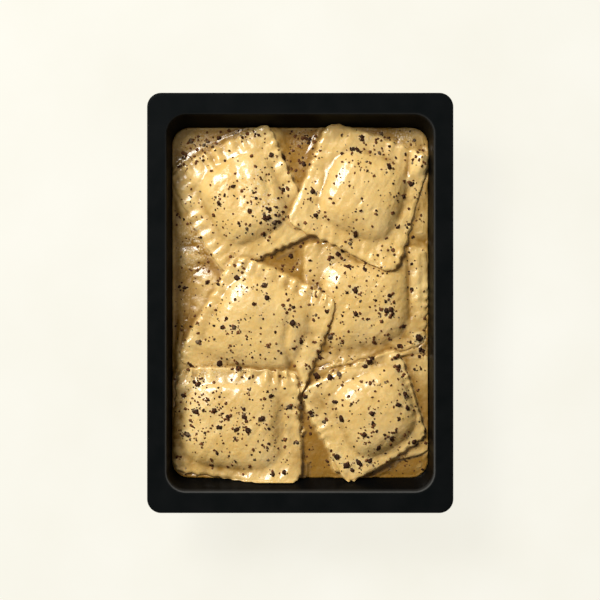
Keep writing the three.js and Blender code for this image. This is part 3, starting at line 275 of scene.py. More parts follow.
# Spots that add painted shade along with the deeper tone of pooled sauce (above 0), or take shade away as
# painted light (below 0): x, y, radius, strength.
SHADE_AND_LIGHT_TINTS = [
    (3, -71, 7, 0.8), (-4, 23, 7, 0.05), (56, 5, 7, -0.5), (56, 40, 7, -0.4),
    (-58, 45, 8, -0.4), (-58, 22, 8, -0.4), (-58, 0, 8, -0.45), (-58, -22, 8, -0.4),
    (5, 76, 14, 0.15), (45, -73, 8, 0.3), (56, -30, 6, -0.4), (8, -46, 6, 0.5),
    (38, 79, 10, 0.15), (-45, 14, 12, 0.3), (-47, -8, 10, 0.35), (-50, 30, 8, 0.05),
    (-29, -55, 24, 0.12),
]

# The flakes of pepper
PATCH_SPREAD = 1.6  # how far a patch's flakes lie from its middle at most, in spreads
FLAKE_SMALLER = 0.42  # the other flakes of a patch, as a share of its largest
FLAKE_VARY = 0.4
CRUMBS_ROUND = 3  # crumbs round each patch of large flakes, over its count
CRUMBS_AWAY = 2.6
CRUMB_SIZE = (0.2, 0.3)  # the smallest, and how much larger the largest is
DUST_FLAKES = 760
DUST_SIZE = (0.26, 0.5)
FLAKE_SQUASH = (0.62, 0.36, 0.5)  # width, how much it varies, and thickness, as shares of the length
FLAKE_ROUGH = (0.6, 0.62)
STEEPEST = 1.2  # no flake lies steeper than this slope
FLAKES_OFF_WALL = 0.8
LARGE_FLAKE = 1.0
BROWN_FROM = 0.36  # small flakes with a tone above this are brown
COATED_EACH = 7  # and one in so many of the others is coated with sauce

# Colours, as linear red, green and blue
PASTA_LIGHT = (0.87, 0.61, 0.235)
PASTA_DEEP = (0.78, 0.5, 0.15)
CREAM_LIGHT = (0.84, 0.58, 0.21)
CREAM_DEEP = (0.74, 0.46, 0.13)
# The brown of pooled sauce, also used as painted shade in hollows, gaps and low places.
POOLED_AND_SHADE = (0.31, 0.152, 0.017)
PALE_CREAM = (0.93, 0.73, 0.37)
# The white of froth, also the colour of painted highlights.
FROTH_HIGHLIGHT_WHITE = (0.95, 0.82, 0.58)
PEPPER_DUST = (0.12, 0.05, 0.02)
PLASTIC_DARK = (0.0045, 0.0057, 0.0061)
PLASTIC_LIGHT = (0.0068, 0.0078, 0.0083)
# Painted shade: the inside of the tray's walls is painted darker than the outside.
PLASTIC_INSIDE_SHADE = (0.0024, 0.0026, 0.0026)
# The pale of the painted highlight along the tray's mouth.
PLASTIC_RIM_HIGHLIGHT = (0.075, 0.075, 0.072)
TABLE_GLOW = ((0.93, 0.905, 0.80), (0.97, 0.95, 0.86))
TABLE_BASE = (0.09, 0.09, 0.083)
WARM = (1.0, 0.93, 0.82)
NEARLY_WHITE = (1.0, 0.985, 0.955)
PEPPER_KINDS = {
    "pepper_black": ((0.014, 0.006, 0.003), (0.085, 0.032, 0.012), 0.5),
    "pepper_brown": ((0.06, 0.02, 0.007), (0.27, 0.105, 0.035), 0.5),
    "pepper_coated": ((0.06, 0.035, 0.02), (0.26, 0.18, 0.1), 0.3),
}

# The camera, straight above as in the photograph, in metres
PICTURE_WIDTH = 0.26813  # what the picture shows at the height of the rim
CAMERA_X = -0.0001
CAMERA_Y = 0.0013
LENS = 100.0  # in mm, as is the sensor
SENSOR = 36.0
TABLE_SIDE = 3.0  # from the middle to each edge


def smooth(t):
    t = np.clip(t, 0, 1)
    return t * t * (3 - 2 * t)


class Stream:
    """A repeatable stream of numbers from 0 to 1."""

    def __init__(self, seed):
        self.state = seed & 0xFFFFFFFF

    def draw(self):
        self.state = (self.state * 1664525 + 1013904223) & 0xFFFFFFFF
        return self.state / 4294967296


def waves(x, y, length, seed, count=7):
    """Smooth noise of about that wavelength in mm, from -1 to 1."""
    stream = Stream(seed)
    total = np.zeros_like(np.asarray(x, float))
    for _ in range(count):
        angle = stream.draw() * 2 * math.pi
        size = 2 * math.pi / length * (0.7 + 0.6 * stream.draw())
        phase = stream.draw() * 2 * math.pi
        total = total + np.sin(size * (np.cos(angle) * x + np.sin(angle) * y) + phase)
    return total / count * 1.6


def spots(x, y, rows):
    """Soft round spots added up: each row has a centre, a radius and a strength."""
    total = np.zeros_like(x)
    for centre_x, centre_y, radius, strength in rows:
        away = (x - centre_x) ** 2 + (y - centre_y) ** 2
        total = total + strength * np.exp(-(away / radius ** 2))
    return total


# The inside of the tray
def mouth_at(z):
    depth = TRAY_HEIGHT - z
    share = np.clip(depth / (TRAY_HEIGHT - FLOOR_TOP), 0, 1)
    radius = MOUTH_RADIUS + share * (FLOOR_RADIUS - MOUTH_RADIUS)
    return MOUTH_X - depth * SIDE_SLOPE, MOUTH_Y - depth * END_SLOPE, radius


def outside(x, y, section):
    """How far points lie outside a rounded rectangle; negative inside."""
    sx, sy, r = section
    qx = np.abs(x) - sx + r
    qy = np.abs(y) - sy + r
    return np.hypot(np.maximum(qx, 0), np.maximum(qy, 0)) + np.minimum(np.maximum(qx, qy), 0) - r


def wall_height(x, y):
    """The height at which the tray's wall passes each point."""
    low = np.zeros_like(x)
    high = np.full_like(x, TRAY_HEIGHT + 4)
    for _ in range(18):
        middle = (low + high) / 2
        beyond = outside(x, y, mouth_at(middle)) > -GAP
        low = np.where(beyond, middle, low)
        high = np.where(beyond, high, middle)
    return high


# Height fields over the tray
CELL = 0.5
HALF_X = 124
HALF_Y = 176
XS = (np.arange(2 * HALF_X + 1) - HALF_X) * CELL
YS = (np.arange(2 * HALF_Y + 1) - HALF_Y) * CELL
GRID_X, GRID_Y = np.meshgrid(XS, YS, indexing="ij")
EVERYWHERE = np.ones_like(GRID_X)


def cells(x, y):
    i = np.clip(np.rint(x / CELL).astype(int) + HALF_X, 0, 2 * HALF_X)
    j = np.clip(np.rint(y / CELL).astype(int) + HALF_Y, 0, 2 * HALF_Y)
    return i, j


def sample(field, x, y):
    gx = np.clip(x / CELL + HALF_X, 0, 2 * HALF_X - 0.001)
    gy = np.clip(y / CELL + HALF_Y, 0, 2 * HALF_Y - 0.001)
    i = gx.astype(int)
    j = gy.astype(int)
    fx = gx - i
    fy = gy - j
    near = field[i, j] * (1 - fx) + field[i + 1, j] * fx
    far = field[i, j + 1] * (1 - fx) + field[i + 1, j + 1] * fx
    return near * (1 - fy) + far * fy


def window_total(field, reach):
    for axis in (0, 1):
        pad = [(0, 0), (0, 0)]
        pad[axis] = (reach + 1, reach)
        sums = np.cumsum(np.pad(field, pad), axis=axis)
        size = field.shape[axis]
        upper = np.take(sums, np.arange(2 * reach + 1, 2 * reach + 1 + size), axis=axis)
        lower = np.take(sums, np.arange(size), axis=axis)
        field = upper - lower
    return field


def window_mean(field, mask, reach):
    counts = window_total(mask, reach)
    return np.where(counts > 0.5, window_total(field * mask, reach) / np.maximum(counts, 0.5), field)


def blur(field, mask, first, second):
    """A window mean of a window mean, with those reaches in grid cells."""
    return window_mean(window_mean(field, mask, first), mask, second)


def window_top(field, reach):
    for axis in (0, 1):
        best = field
        for step in range(1, reach + 1):
            best = np.maximum(best, np.roll(field, step, axis))
            best = np.maximum(best, np.roll(field, -step, axis))
        field = best
    return field


# Meshes
def make_object(name, points, faces, material, nodes=()):
    mesh = bpy.data.meshes.new(name)
    mesh.from_pydata((np.asarray(points) * MM).tolist(), [], faces)
    mesh.validate()
    mesh.polygons.foreach_set("use_smooth", [True] * len(mesh.polygons))
    mesh.materials.append(material)
    obj = bpy.data.objects.new(name, mesh)
    bpy.context.scene.collection.objects.link(obj)
    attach(obj, "root")
    if nodes:
        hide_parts(*nodes)
    return obj


def mark(obj, name, values):
    """Gives each vertex a number from 0 to 1 for the material to read."""
    layer = obj.data.attributes.new(name, "FLOAT", "POINT")
    layer.data.foreach_set("value", np.clip(values, 0, 1))


def ring_faces(first, second, count):
    """The faces between two rings of points, by the number of each ring's first point."""
    return [
        (first + k, first + (k + 1) % count, second + (k + 1) % count, second + k)
        for k in range(count)
    ]


def grid_faces(rows, columns):
    """The faces of a grid of points, and the points along its border in order."""
    index = np.arange(rows * columns).reshape(rows, columns)
    quads = np.stack([index[:-1, :-1], index[1:, :-1], index[1:, 1:], index[:-1, 1:]], axis=-1)
    rim = list(index[:-1, 0]) + list(index[-1, :-1]) + list(index[:0:-1, -1]) + list(index[0, :0:-1])
    return quads.reshape(-1, 4).tolist(), rim


def hang_rings(faces, rim, start, levels):
    """Adds the faces of that many rings of points under a rim. Gives the last ring."""
    count = len(rim)
    for _ in range(levels):
        ring = list(range(start, start + count))
        faces += [(rim[(k + 1) % count], rim[k], ring[k], ring[(k + 1) % count]) for k in range(count)]
        rim = ring
        start += count
    return rim


# The ravioli
def ripple(raviolo, side, along):
    """How far a crimped edge stands out, about -1 to 1, along the back, right, front or left side."""
    a, b, c = raviolo["phases"][side]
    (wide, slow), (narrow, quick) = FLUTE_WANDER
    wander = wide * np.sin(slow * along + a) + narrow * np.sin(quick * along + b)
    strength = FLUTE_WEAK + FLUTE_VARY * np.sin(VARY_PACE * along + c)
    return strength * np.cos(math.pi * FLUTES * (along + 1) + wander)


def edge_ripple(raviolo, across, along, sides, depths):
    """The ripple of the two edges that face each other, fading out at the corners."""
    fade = 1 - np.abs(along) ** FLUTE_FADE
    first, second = (depths[side] * ripple(raviolo, side, along) for side in sides)
    return fade * np.where(across > 0, first, second)


def edge_bend(raviolo, across, along, sides):
    """The slow bends in the outline of two edges that face each other, in mm."""
    first, second = (np.sin(BEND_PACE * along + raviolo["phases"][side][0]) for side in sides)
    return OUTLINE_BEND * np.where(across > 0, first, second)


def edge_out(raviolo, across, along, sides):
    """How far an edge stands out from a straight one; those of the ravioli in the sauce are straight."""
    if raviolo["low"]:
        return 0
    scallops = edge_ripple(raviolo, across, along, sides, [SCALLOP] * 4)
    return scallops + edge_bend(raviolo, across, along, sides)


def place(raviolo, u, v, hollow=False):
    """Where u and v, from -1 to 1 across a raviolo, lie in the tray. The wall doesn't hold its hollow in."""
    near_u = np.abs(u) ** CORNER_POWER
    near_v = np.abs(v) ** CORNER_POWER
    rounding = 1 - CORNER_ROUND * near_u * near_v
    pu = u * rounding + np.sign(u) * near_u * edge_out(raviolo, u, v, (1, 3)) / USUAL_HALF
    pv = v * rounding + np.sign(v) * near_v * edge_out(raviolo, v, u, (0, 2)) / USUAL_HALF
    weights = ((1 - pu) * (1 + pv), (1 + pu) * (1 + pv), (1 + pu) * (1 - pv), (1 - pu) * (1 - pv))
    x, y = (sum(w * p[k] for w, p in zip(weights, raviolo["corners"])) / 4 for k in (0, 1))
    if hollow:
        return x, y
    _, sy, r = mouth_at(raviolo["wall"])
    sx = mouth_at(min(raviolo["wall"], SIDE_WALL))[0]
    cx = np.clip(x, -(sx - r - GAP), sx - r - GAP)
    cy = np.clip(y, -(sy - r - GAP), sy - r - GAP)
    away = np.hypot(x - cx, y - cy)
    pull = np.where(away > r, r / np.maximum(away, 1e-6), 1)
    return cx + (x - cx) * pull, cy + (y - cy) * pull


def filling_share(raviolo, u, v):
    """0 at the middle of the filling and 1 at its edge."""
    hu, hv = raviolo.get("filling", USUAL_FILLING)
    su, sv = raviolo.get("shift", (0, 0))
    return (np.abs((u - su) / hu) ** SQUARENESS + np.abs((v - sv) / hv) ** SQUARENESS) ** (1 / SQUARENESS)


def thickness(raviolo, u, v):
    over = 1 - filling_share(raviolo, u, v) ** DOME_POWER
    dome = (over + np.sqrt(over * over + DOME_FOOT)) / 2
    edge = np.maximum(np.abs(u), np.abs(v))
    depths = [CRIMP_DEPTH * flutes for flutes in raviolo["flutes"]]
    start_u = smooth((np.abs(u) - CRIMP_START) / CRIMP_WIDTH)
    start_v = smooth((np.abs(v) - CRIMP_START) / CRIMP_WIDTH)
    crimp_u = start_u * edge_ripple(raviolo, u, v, (1, 3), depths)
    crimp_v = start_v * edge_ripple(raviolo, v, u, (0, 2), depths)
    crimp = (crimp_u + crimp_v) * (1 - np.clip(dome, 0, 1))
    rounded = (DOUGH - DOUGH_EDGE) * smooth((edge - EDGE_START) / (1 - EDGE_START))
    return DOUGH - rounded + crimp + raviolo["rise"] * dome


def settle(raviolo, pile, walls):
    """Lets a raviolo sink onto what lies under it. Sets the heights of its underside over the tray."""
    mask = raviolo["mask"]
    support = np.maximum(window_top(pile, 2) + GAP, walls)
    base = support.copy()
    for _ in range(SETTLE_STEPS):
        base = np.maximum(support, window_mean(base, mask, SETTLE_REACH) - SAG)
    base = np.where(mask > 0, base, window_mean(base, mask, SETTLE_REACH))
    wide = window_top(mask, 4)
    raviolo["base"] = base
    raviolo["soft"] = blur(base, wide, 5, 5)
    raviolo["crown"] = blur(base, wide, 14, 14)


def bumps_at(raviolo, x, y):
    """The single bumps and grooves of a raviolo."""
    total = np.zeros_like(x)
    for bx, by, half_length, half_width, direction, height in raviolo.get("bumps", ()):
        c = math.cos(math.radians(direction))
        s = math.sin(math.radians(direction))
        along = ((x - bx) * c + (y - by) * s) / half_length
        across = ((y - by) * c - (x - bx) * s) / half_width
        total = total + height * np.exp(-(along ** 4) - across ** 2)
    return total


def unevenness(raviolo, x, y, share):
    """Lumps on the filling, ripples in the border and fine waves all over."""
    seed = raviolo["seed"]
    strength = min(1, raviolo["rise"] / FULL_RISE)
    lumps = LUMPS[0] * waves(x, y, LUMPS[1], seed) * smooth((1.2 - share) / 0.6)
    ripples = RIPPLES[0] * waves(x, y, RIPPLES[1], seed + 1) * smooth((share - 0.85) / 0.3)
    total = (lumps + ripples) * strength
    for n, (height, length) in enumerate(FINE_WAVES):
        total = total + height * waves(x, y, length, seed + 2 + n)
    return total


def top_height(raviolo, u, v, x, y):
    share = filling_share(raviolo, u, v)
    under = sample(raviolo["base"], x, y)
    filled = smooth(CROWN_START - share)
    carried = sample(raviolo["soft"], x, y) * (1 - filled) + sample(raviolo["crown"], x, y) * filled
    height = carried + thickness(raviolo, u, v) + unevenness(raviolo, x, y, share) + bumps_at(raviolo, x, y)
    return np.maximum(height, under + LEAST_DOUGH)


def spread_points(count):
    """From -1 to 1, closer together towards both ends."""
    s = np.linspace(-1, 1, count)
    return s * (1 + 0.33 * (1 - s * s))


def raviolo_surface(raviolo, count):
    """The points and faces of a raviolo: a fine grid on top, and rings underneath."""
    s = spread_points(count)
    u, v = np.meshgrid(s, s, indexing="ij")
    x, y = place(raviolo, u, v)
    under = sample(raviolo["base"], x, y)
    edge = np.maximum(np.abs(u), np.abs(v))
    drop = CUT_DEPTH * smooth((edge - CUT_START) / (1 - CUT_START)) ** CUT_POWER
    z = top_height(raviolo, u, v, x, y) * (1 - drop) + (under + 0.2) * drop
    points = [np.stack([x, y, z], axis=-1).reshape(-1, 3)]
    faces, rim = grid_faces(count, count)
    u_rim = u.reshape(-1)[rim]
    v_rim = v.reshape(-1)[rim]
    su, sv = raviolo.get("shift", (0, 0))
    for size in (*UNDER_RINGS, 0):
        px, py = place(raviolo, su * (1 - size) + u_rim * size, sv * (1 - size) + v_rim * size)
        points.append(np.stack([px, py, sample(raviolo["base"], px, py)], axis=-1))
    points[-1] = points[-1][:1]
    last = hang_rings(faces, rim, count * count, len(UNDER_RINGS))
    tip = last[-1] + 1
    faces += [(last[(k + 1) % len(last)], last[k], tip) for k in range(len(last))]
    return np.concatenate(points), faces


def lay_on(pile, points):
    i, j = cells(points[:, 0], points[:, 1])
    np.maximum.at(pile, (i, j), points[:, 2])


# Materials
class Shader:
    """A material's node tree, with small helpers. Scales are waves to the metre; _ in a name is a space."""

    def __init__(self, name):
        self.material = bpy.data.materials.new(name)
        self.material.use_nodes = True
        self.tree = self.material.node_tree
        self.tree.nodes.clear()
        self.body = self.tree.nodes.new("ShaderNodeBsdfPrincipled")
        self.places = self.tree.nodes.new("ShaderNodeTexCoord").outputs["Object"]
        self.add("ShaderNodeOutputMaterial", Surface=self.body.outputs["BSDF"])

    def fill(self, socket, value):
        """Joins another node's output to a socket, or sets its value."""
        if isinstance(value, bpy.types.NodeSocket):
            self.tree.links.new(value, socket)
        elif socket.type == "RGBA":
            socket.default_value = (*value, 1)
        else:
            socket.default_value = value

    def fill_inputs(self, node, values):
        for name, value in values.items():
            self.fill(node.inputs[name.replace("_", " ")], value)

    def add(self, kind, **values):
        node = self.tree.nodes.new(kind)
        self.fill_inputs(node, values)
        return node

    def set(self, **values):
        self.fill_inputs(self.body, values)

    def noise(self, scale, detail=2.0, roughness=0.5):
        look = dict(Scale=scale, Detail=detail, Roughness=roughness)
        return self.add("ShaderNodeTexNoise", Vector=self.places, **look).outputs["Fac"]

    def cells(self, scale):
        return self.add("ShaderNodeTexVoronoi", Vector=self.places, Scale=scale)

    def ramp(self, value, stops):
        node = self.add("ShaderNodeValToRGB", Fac=value)
        for element, (at, colour) in zip(node.color_ramp.elements, stops):
            element.position = at
            element.color = (*colour, 1)
        return node.outputs["Color"]

    def grey(self, value, low, high, start=0.0, end=1.0):
        span = dict(From_Min=start, From_Max=end, To_Min=low, To_Max=high)
        return self.add("ShaderNodeMapRange", Value=value, **span).outputs["Result"]

    def math(self, kind, a, b):
        node = self.add("ShaderNodeMath")
        node.operation = kind
        self.fill(node.inputs[0], a)
        self.fill(node.inputs[1], b)
        return node.outputs["Value"]

    def mix(self, share, a, b):
        node = self.add("ShaderNodeMix")
        node.data_type = "RGBA"
        for name, value in (("Factor", share), ("A", a), ("B", b)):
            self.fill([s for s in node.inputs if s.name == name and s.enabled][0], value)
        return [s for s in node.outputs if s.enabled][0]

    def attribute(self, name):
        node = self.add("ShaderNodeAttribute")
        node.attribute_name = name
        return node.outputs["Fac"]

    def bump(self, height, strength, distance):
        node = self.add("ShaderNodeBump", Height=height, Strength=strength, Distance=distance)
        self.set(Normal=node.outputs["Normal"])


def froth_and_highlight_share(shader):
    """Where the froth and the painted highlights show: their marked patches, broken up into bubbles."""
    distance = shader.cells(1100).outputs["Distance"]
    bubbles = shader.grey(distance, low=1, high=0, start=0.15, end=0.6)
    return shader.math("MULTIPLY", shader.attribute("froth"), bubbles)


def dust_share(shader):
    """Where the finest pepper shows: dots in three cells out of ten."""
    dust = shader.cells(420)
    dots = shader.math("LESS_THAN", dust.outputs["Distance"], 0.16)
    tone = shader.add("ShaderNodeSeparateColor", Color=dust.outputs["Color"]).outputs["Red"]
    chosen = shader.math("LESS_THAN", tone, 0.3)
    return shader.math("MULTIPLY", shader.math("MULTIPLY", dots, chosen), 0.75)


def food_material(name, light, deep, roughness):
    """Sauce-coated pasta, or the sauce itself: cream that drifts, deeper where it pools and darker with
    painted shade in hollows and low places, with a wet gloss.
    """
    shader = Shader(name)
    colour = shader.ramp(shader.noise(60, detail=3.0, roughness=0.55), [(0.3, deep), (0.7, light)])
    # Painted shade: darker towards the pooled brown in hollows, gaps and low places.
    colour = shader.mix(shader.attribute("hollow"), colour, POOLED_AND_SHADE)
    colour = shader.mix(shader.attribute("pale"), colour, PALE_CREAM)
    # Froth, and painted highlights, in bubbly patches.
    colour = shader.mix(froth_and_highlight_share(shader), colour, FROTH_HIGHLIGHT_WHITE)
    colour = shader.mix(dust_share(shader), colour, PEPPER_DUST)
    wet = shader.grey(shader.noise(170), roughness - 0.08, roughness + 0.14, start=0.3, end=0.7)
    shader.set(Base_Color=colour, Roughness=wet, IOR=1.45, Coat_Weight=0.6, Coat_Roughness=0.15)
    shader.set(Subsurface_Weight=0.12, Subsurface_Scale=0.002, Subsurface_Radius=(1.0, 0.6, 0.25))
    grain = shader.math("MULTIPLY", shader.noise(900), 0.4)
    swell = shader.noise(300, detail=3.0)
    shader.bump(shader.math("ADD", grain, swell), strength=0.6, distance=0.0006)
    return shader.material


def pepper_material(name, dark, light, roughness):
    shader = Shader(name)
    colour = shader.ramp(shader.noise(900, detail=3.0, roughness=0.6), [(0.35, dark), (0.7, light)])
    shader.set(Base_Color=colour, Roughness=roughness, IOR=1.4, Specular_IOR_Level=0.18)
    shader.bump(shader.noise(1800), strength=0.8, distance=0.0004)
    return shader.material


def plastic_material():
    shader = Shader("black_plastic")
    colour = shader.ramp(shader.noise(90), [(0.3, PLASTIC_DARK), (0.7, PLASTIC_LIGHT)])
    # Painted shade: the inner walls are painted darker.
    colour = shader.mix(shader.attribute("inner"), colour, PLASTIC_INSIDE_SHADE)
    # Painted highlight: a pale line along the mouth.
    colour = shader.mix(shader.attribute("rim_highlight"), colour, PLASTIC_RIM_HIGHLIGHT)
    matt = shader.grey(shader.noise(300, detail=3.0), low=0.3, high=0.38)
    shader.set(Base_Color=colour, Roughness=matt, IOR=1.25, Specular_IOR_Level=0.035)
    shader.bump(shader.noise(1500), strength=0.12, distance=0.0002)
    return shader.material


# The tray
def rounded_ring(section, z):
    """A level rounded rectangle as a closed ring of points."""
    sx, sy, r = section
    points = []
    signs = ((1, 1), (-1, 1), (-1, -1), (1, -1))
    for corner, (cx, cy) in enumerate(signs):
        for k in range(CORNER_STEPS + 1):
            angle = (corner + k / CORNER_STEPS) * math.pi / 2
            points.append((cx * (sx - r) + r * math.cos(angle), cy * (sy - r) + r * math.sin(angle), z))
        nx, ny = signs[(corner + 1) % 4]
        start = points[-1]
        end = (nx * (sx - r) + r * math.cos(angle), ny * (sy - r) + r * math.sin(angle), z)
        for k in range(1, STRAIGHT_STEPS):
            t = k / STRAIGHT_STEPS
            points.append(tuple(start[n] * (1 - t) + end[n] * t for n in range(3)))
    return points


def grown(section, by):
    return section[0] + by, section[1] + by, max(LEAST_RADIUS, section[2] + by)


def floor_bend(z, by):
    """The wall's outline in the rounding between wall and floor, moved out by so much."""
    return grown(mouth_at(z), by - FLOOR_DRAW * (1 - z / FLOOR_ROUND) ** 2)


def rim_outline(inset):
    return TRAY_WIDTH / 2 - inset, TRAY_LENGTH / 2 - inset, RIM_RADIUS - inset * RIM_TAPER


def arc(start, end, centre_z, steps):
    """A quarter of a rounding of the lip between two angles in degrees: how far out, and the height."""
    for k in range(steps + 1):
        angle = math.radians(start + (end - start) * k / steps)
        yield LIP_ROUND * math.cos(angle), centre_z + LIP_ROUND * math.sin(angle)


def foot_outlines():
    """The inner edge of the ring that the tray stands on, and the raised panel inside it."""
    foot = grown(mouth_at(0.0), -FLOOR_ROUND)
    return grown(foot, -FOOT_WIDTH), grown(foot, -FOOT_WIDTH - FOOT_STEP)


def underside_rings():
    foot, panel = foot_outlines()
    return [
        (grown(panel, -PANEL_BORDER), FOOT_STEP),
        (panel, FOOT_STEP),
        (grown(panel, BEVEL), FOOT_STEP - BEVEL_DROP),
        (grown(foot, -BEVEL), BEVEL_DROP),
        (foot, 0.0),
        (floor_bend(0.0, SHEET / 4 - FOOT_EDGE), 0.0),
        (floor_bend(0.0, SHEET / 4), FOOT_RISE),
    ]


def outer_rings():
    """Up the outside of the wall, out under the rim, round its lip and over its top."""
    under = TRAY_HEIGHT - SHEET
    lip = TRAY_HEIGHT - LIP_DROP
    rings = [(floor_bend(z, SHEET), z) for z in BEND_HEIGHTS]
    rings += [(grown(mouth_at(z), SHEET), z) for z in WALL_HEIGHTS]
    for out, z in arc(180, 90, under - LIP_ROUND, 5):
        rings.append((grown(mouth_at(z), SHEET + LIP_ROUND + out), z))
    rings.append((rim_outline(SHEET + LIP_ROUND + RIM_UNDERSIDE), under))
    for out, z in arc(90, 0, under - LIP_ROUND, 5):
        rings.append((rim_outline(SHEET + LIP_ROUND - out), z))
    rings.append((rim_outline(SHEET), lip + LIP_BEVEL))
    rings += [(rim_outline(SHEET * share), lip) for share in LIP_FLAT]
    rings.append((rim_outline(0.0), lip + LIP_BEVEL))
    for out, z in arc(0, 90, TRAY_HEIGHT - LIP_ROUND, 6):
        rings.append((rim_outline(LIP_ROUND - out), z))
    rings.append((rim_outline(LIP_ROUND + LIP_EDGE), TRAY_HEIGHT))
    return rings


def inner_rings():
    """From the rim's inner edge down the inside of the wall and over the floor."""
    mouth = mouth_at(TRAY_HEIGHT)
    foot, panel = foot_outlines()
    rings = [(grown(mouth, LIP_ROUND + LIP_EDGE), TRAY_HEIGHT)]
    for out, z in arc(90, 180, TRAY_HEIGHT - LIP_ROUND, 6):
        rings.append((grown(mouth, LIP_ROUND + out - (mouth[0] - mouth_at(z)[0])), z))
    rings += [(mouth_at(z), z) for z in reversed(WALL_HEIGHTS)]
    rings += [(floor_bend(z, 0.0), z + SHEET) for z in reversed(BEND_HEIGHTS)]
    return rings + [
        (foot, SHEET),
        (grown(foot, -BEVEL), SHEET + BEVEL_DROP),
        (grown(panel, BEVEL), FLOOR_TOP - BEVEL_DROP),
        (panel, FLOOR_TOP),
        (grown(panel, -PANEL_BORDER), FLOOR_TOP),
    ]


def mark_tray(shell, points):
    """Marks the inside of the tray, painted darker as painted shade, and the line along its mouth, painted
    pale as a painted highlight.
    """
    x, y, z = np.array(points).T
    beyond_mouth = outside(x, y, mouth_at(TRAY_HEIGHT))
    # Painted shade on the inner walls, between the floor's rounding and the rim.
    inner = (beyond_mouth < 0.1) & (z > FLOOR_ROUND) & (z < TRAY_HEIGHT - 0.5)
    mark(shell, "inner", inner.astype(float))
    # A painted highlight along the mouth's inner edge, stronger towards the front and the right.
    line = np.exp(-(((0.25 - beyond_mouth) / 0.3) ** 2)) * (z > TRAY_HEIGHT - 1)
    mark(shell, "rim_highlight", line * (0.66 - 0.42 * y / MOUTH_Y + 0.12 * x / MOUTH_X))


def build_tray(material):
    rings = [rounded_ring(section, z) for section, z in underside_rings() + outer_rings() + inner_rings()]
    count = len(rings[0])
    last = count * (len(rings) - 1)
    faces = []
    for n in range(len(rings) - 1):
        faces += ring_faces(n * count, (n + 1) * count, count)
    faces.append(tuple(range(count - 1, -1, -1)))
    faces.append(tuple(range(last, last + count)))
    points = [point for ring in rings for point in ring]
    shell = make_object("tray_shell", points, faces, material, ["tray"])
    mark_tray(shell, points)


# The sauce
def sauce_top(low_pile, pile):
    """The sauce's height over the tray: level, drawn up at the walls and against the edges of the ravioli."""
    level = SAUCE_LEVEL + SAUCE_TILT * GRID_Y
    for height, length, seed in SAUCE_WAVES:
        level = level + height * waves(GRID_X, GRID_Y, length, seed)
    wall_distance = -outside(GRID_X, GRID_Y, mouth_at(SAUCE_LEVEL))
    level = level + CREEP * np.exp(-np.maximum(wall_distance, 0) / CREEP_REACH)
    fillet = blur(window_top(low_pile, 4), EVERYWHERE, 4, 4) - 0.1
    drawn = blur(window_top(pile, 3), EVERYWHERE, 3, 2) - 0.2
    drawn = np.minimum(drawn, level + DRAWN_UP + spots(GRID_X, GRID_Y, BRIDGES))
    drawn = np.where(pile > level + 0.6, np.minimum(drawn, pile - 0.5), drawn)
    return np.maximum(np.maximum(level, fillet), drawn)


def spread_to_wall(u, v, section):
    """Where u and v, from -1 to 1, lie in a rounded rectangle that they fill."""
    reach = np.maximum(np.abs(u), np.abs(v))
    safe = np.maximum(reach, 1e-6)
    ex = u / safe * section[0]
    ey = v / safe * section[1]
    low = np.zeros_like(ex)
    high = np.ones_like(ex)
    for _ in range(20):
        middle = (low + high) / 2
        beyond = outside(ex * middle, ey * middle, section) > 0
        high = np.where(beyond, middle, high)
        low = np.where(beyond, low, middle)
    return ex * low * reach, ey * low * reach


def build_sauce(material, height):
    rows, columns = SAUCE_GRID
    u, v = np.meshgrid(np.linspace(-1, 1, rows), np.linspace(-1, 1, columns), indexing="ij")
    section = grown(mouth_at(SAUCE_LEVEL + 0.6), -0.05)
    x, y = spread_to_wall(u, v, section)
    top = np.stack([x, y, sample(height, x, y)], axis=-1).reshape(-1, 3)
    faces, rim = grid_faces(rows, columns)
    points = [top]
    for z in SAUCE_DEPTHS:
        sx, sy, _ = mouth_at(z)
        inset = SAUCE_INSET + (FLOOR_DRAW if z < FLOOR_ROUND else 0)
        scale = np.array([(sx - inset) / section[0], (sy - inset) / section[1]])
        points.append(np.column_stack([top[rim][:, :2] * scale, np.full(len(rim), z)]))
    last = hang_rings(faces, rim, rows * columns, len(SAUCE_DEPTHS))
    faces.append(tuple(reversed(last)))
    return make_object("sauce_pool", np.concatenate(points), faces, material, ["sauce"])


# Pepper
def patch_flakes(patches, seed):
    """Flakes of pepper in their patches: the first of each patch is its largest, at its middle."""
    stream = Stream(seed)
    flakes = []
    for x, y, spread, count, largest in patches:
        for k in range(count):
            draw = [stream.draw() for _ in range(7)]
            size = largest if k == 0 else largest * (FLAKE_SMALLER + FLAKE_VARY * draw[4])
            dx = 0 if k == 0 else PATCH_SPREAD * spread * (draw[0] + draw[1] - 1)
            dy = 0 if k == 0 else PATCH_SPREAD * spread * (draw[2] + draw[3] - 1)
            flakes.append((x + dx, y + dy, size, *draw[4:]))
    return flakes


def crumbs_round(patches, seed):
    """Crumbs of pepper that lie round the large flakes."""
    stream = Stream(seed)
    smallest, more = CRUMB_SIZE
    flakes = []
    for x, y, spread, count, largest in patches:
        for _ in range(CRUMBS_ROUND + count):
            draw = [stream.draw() for _ in range(6)]
            angle = 2 * math.pi * draw[0]
            away = largest + spread * draw[1] + CRUMBS_AWAY * draw[2]
            crumb_x = x + away * math.cos(angle)
            crumb_y = y + away * math.sin(angle)
            flakes.append((crumb_x, crumb_y, smallest + more * draw[3], *draw[3:]))
    return flakes


def scattered_flakes(count, seed):
    """Fine flakes all over the food."""
    stream = Stream(seed)
    smallest, more = DUST_SIZE
    flakes = []
    for _ in range(count):
        draw = [stream.draw() for _ in range(6)]
        x = (2 * draw[0] - 1) * MOUTH_X
        y = (2 * draw[1] - 1) * MOUTH_Y
        flakes.append((x, y, smallest + more * draw[2] ** 2, *draw[3:]))
    return flakes


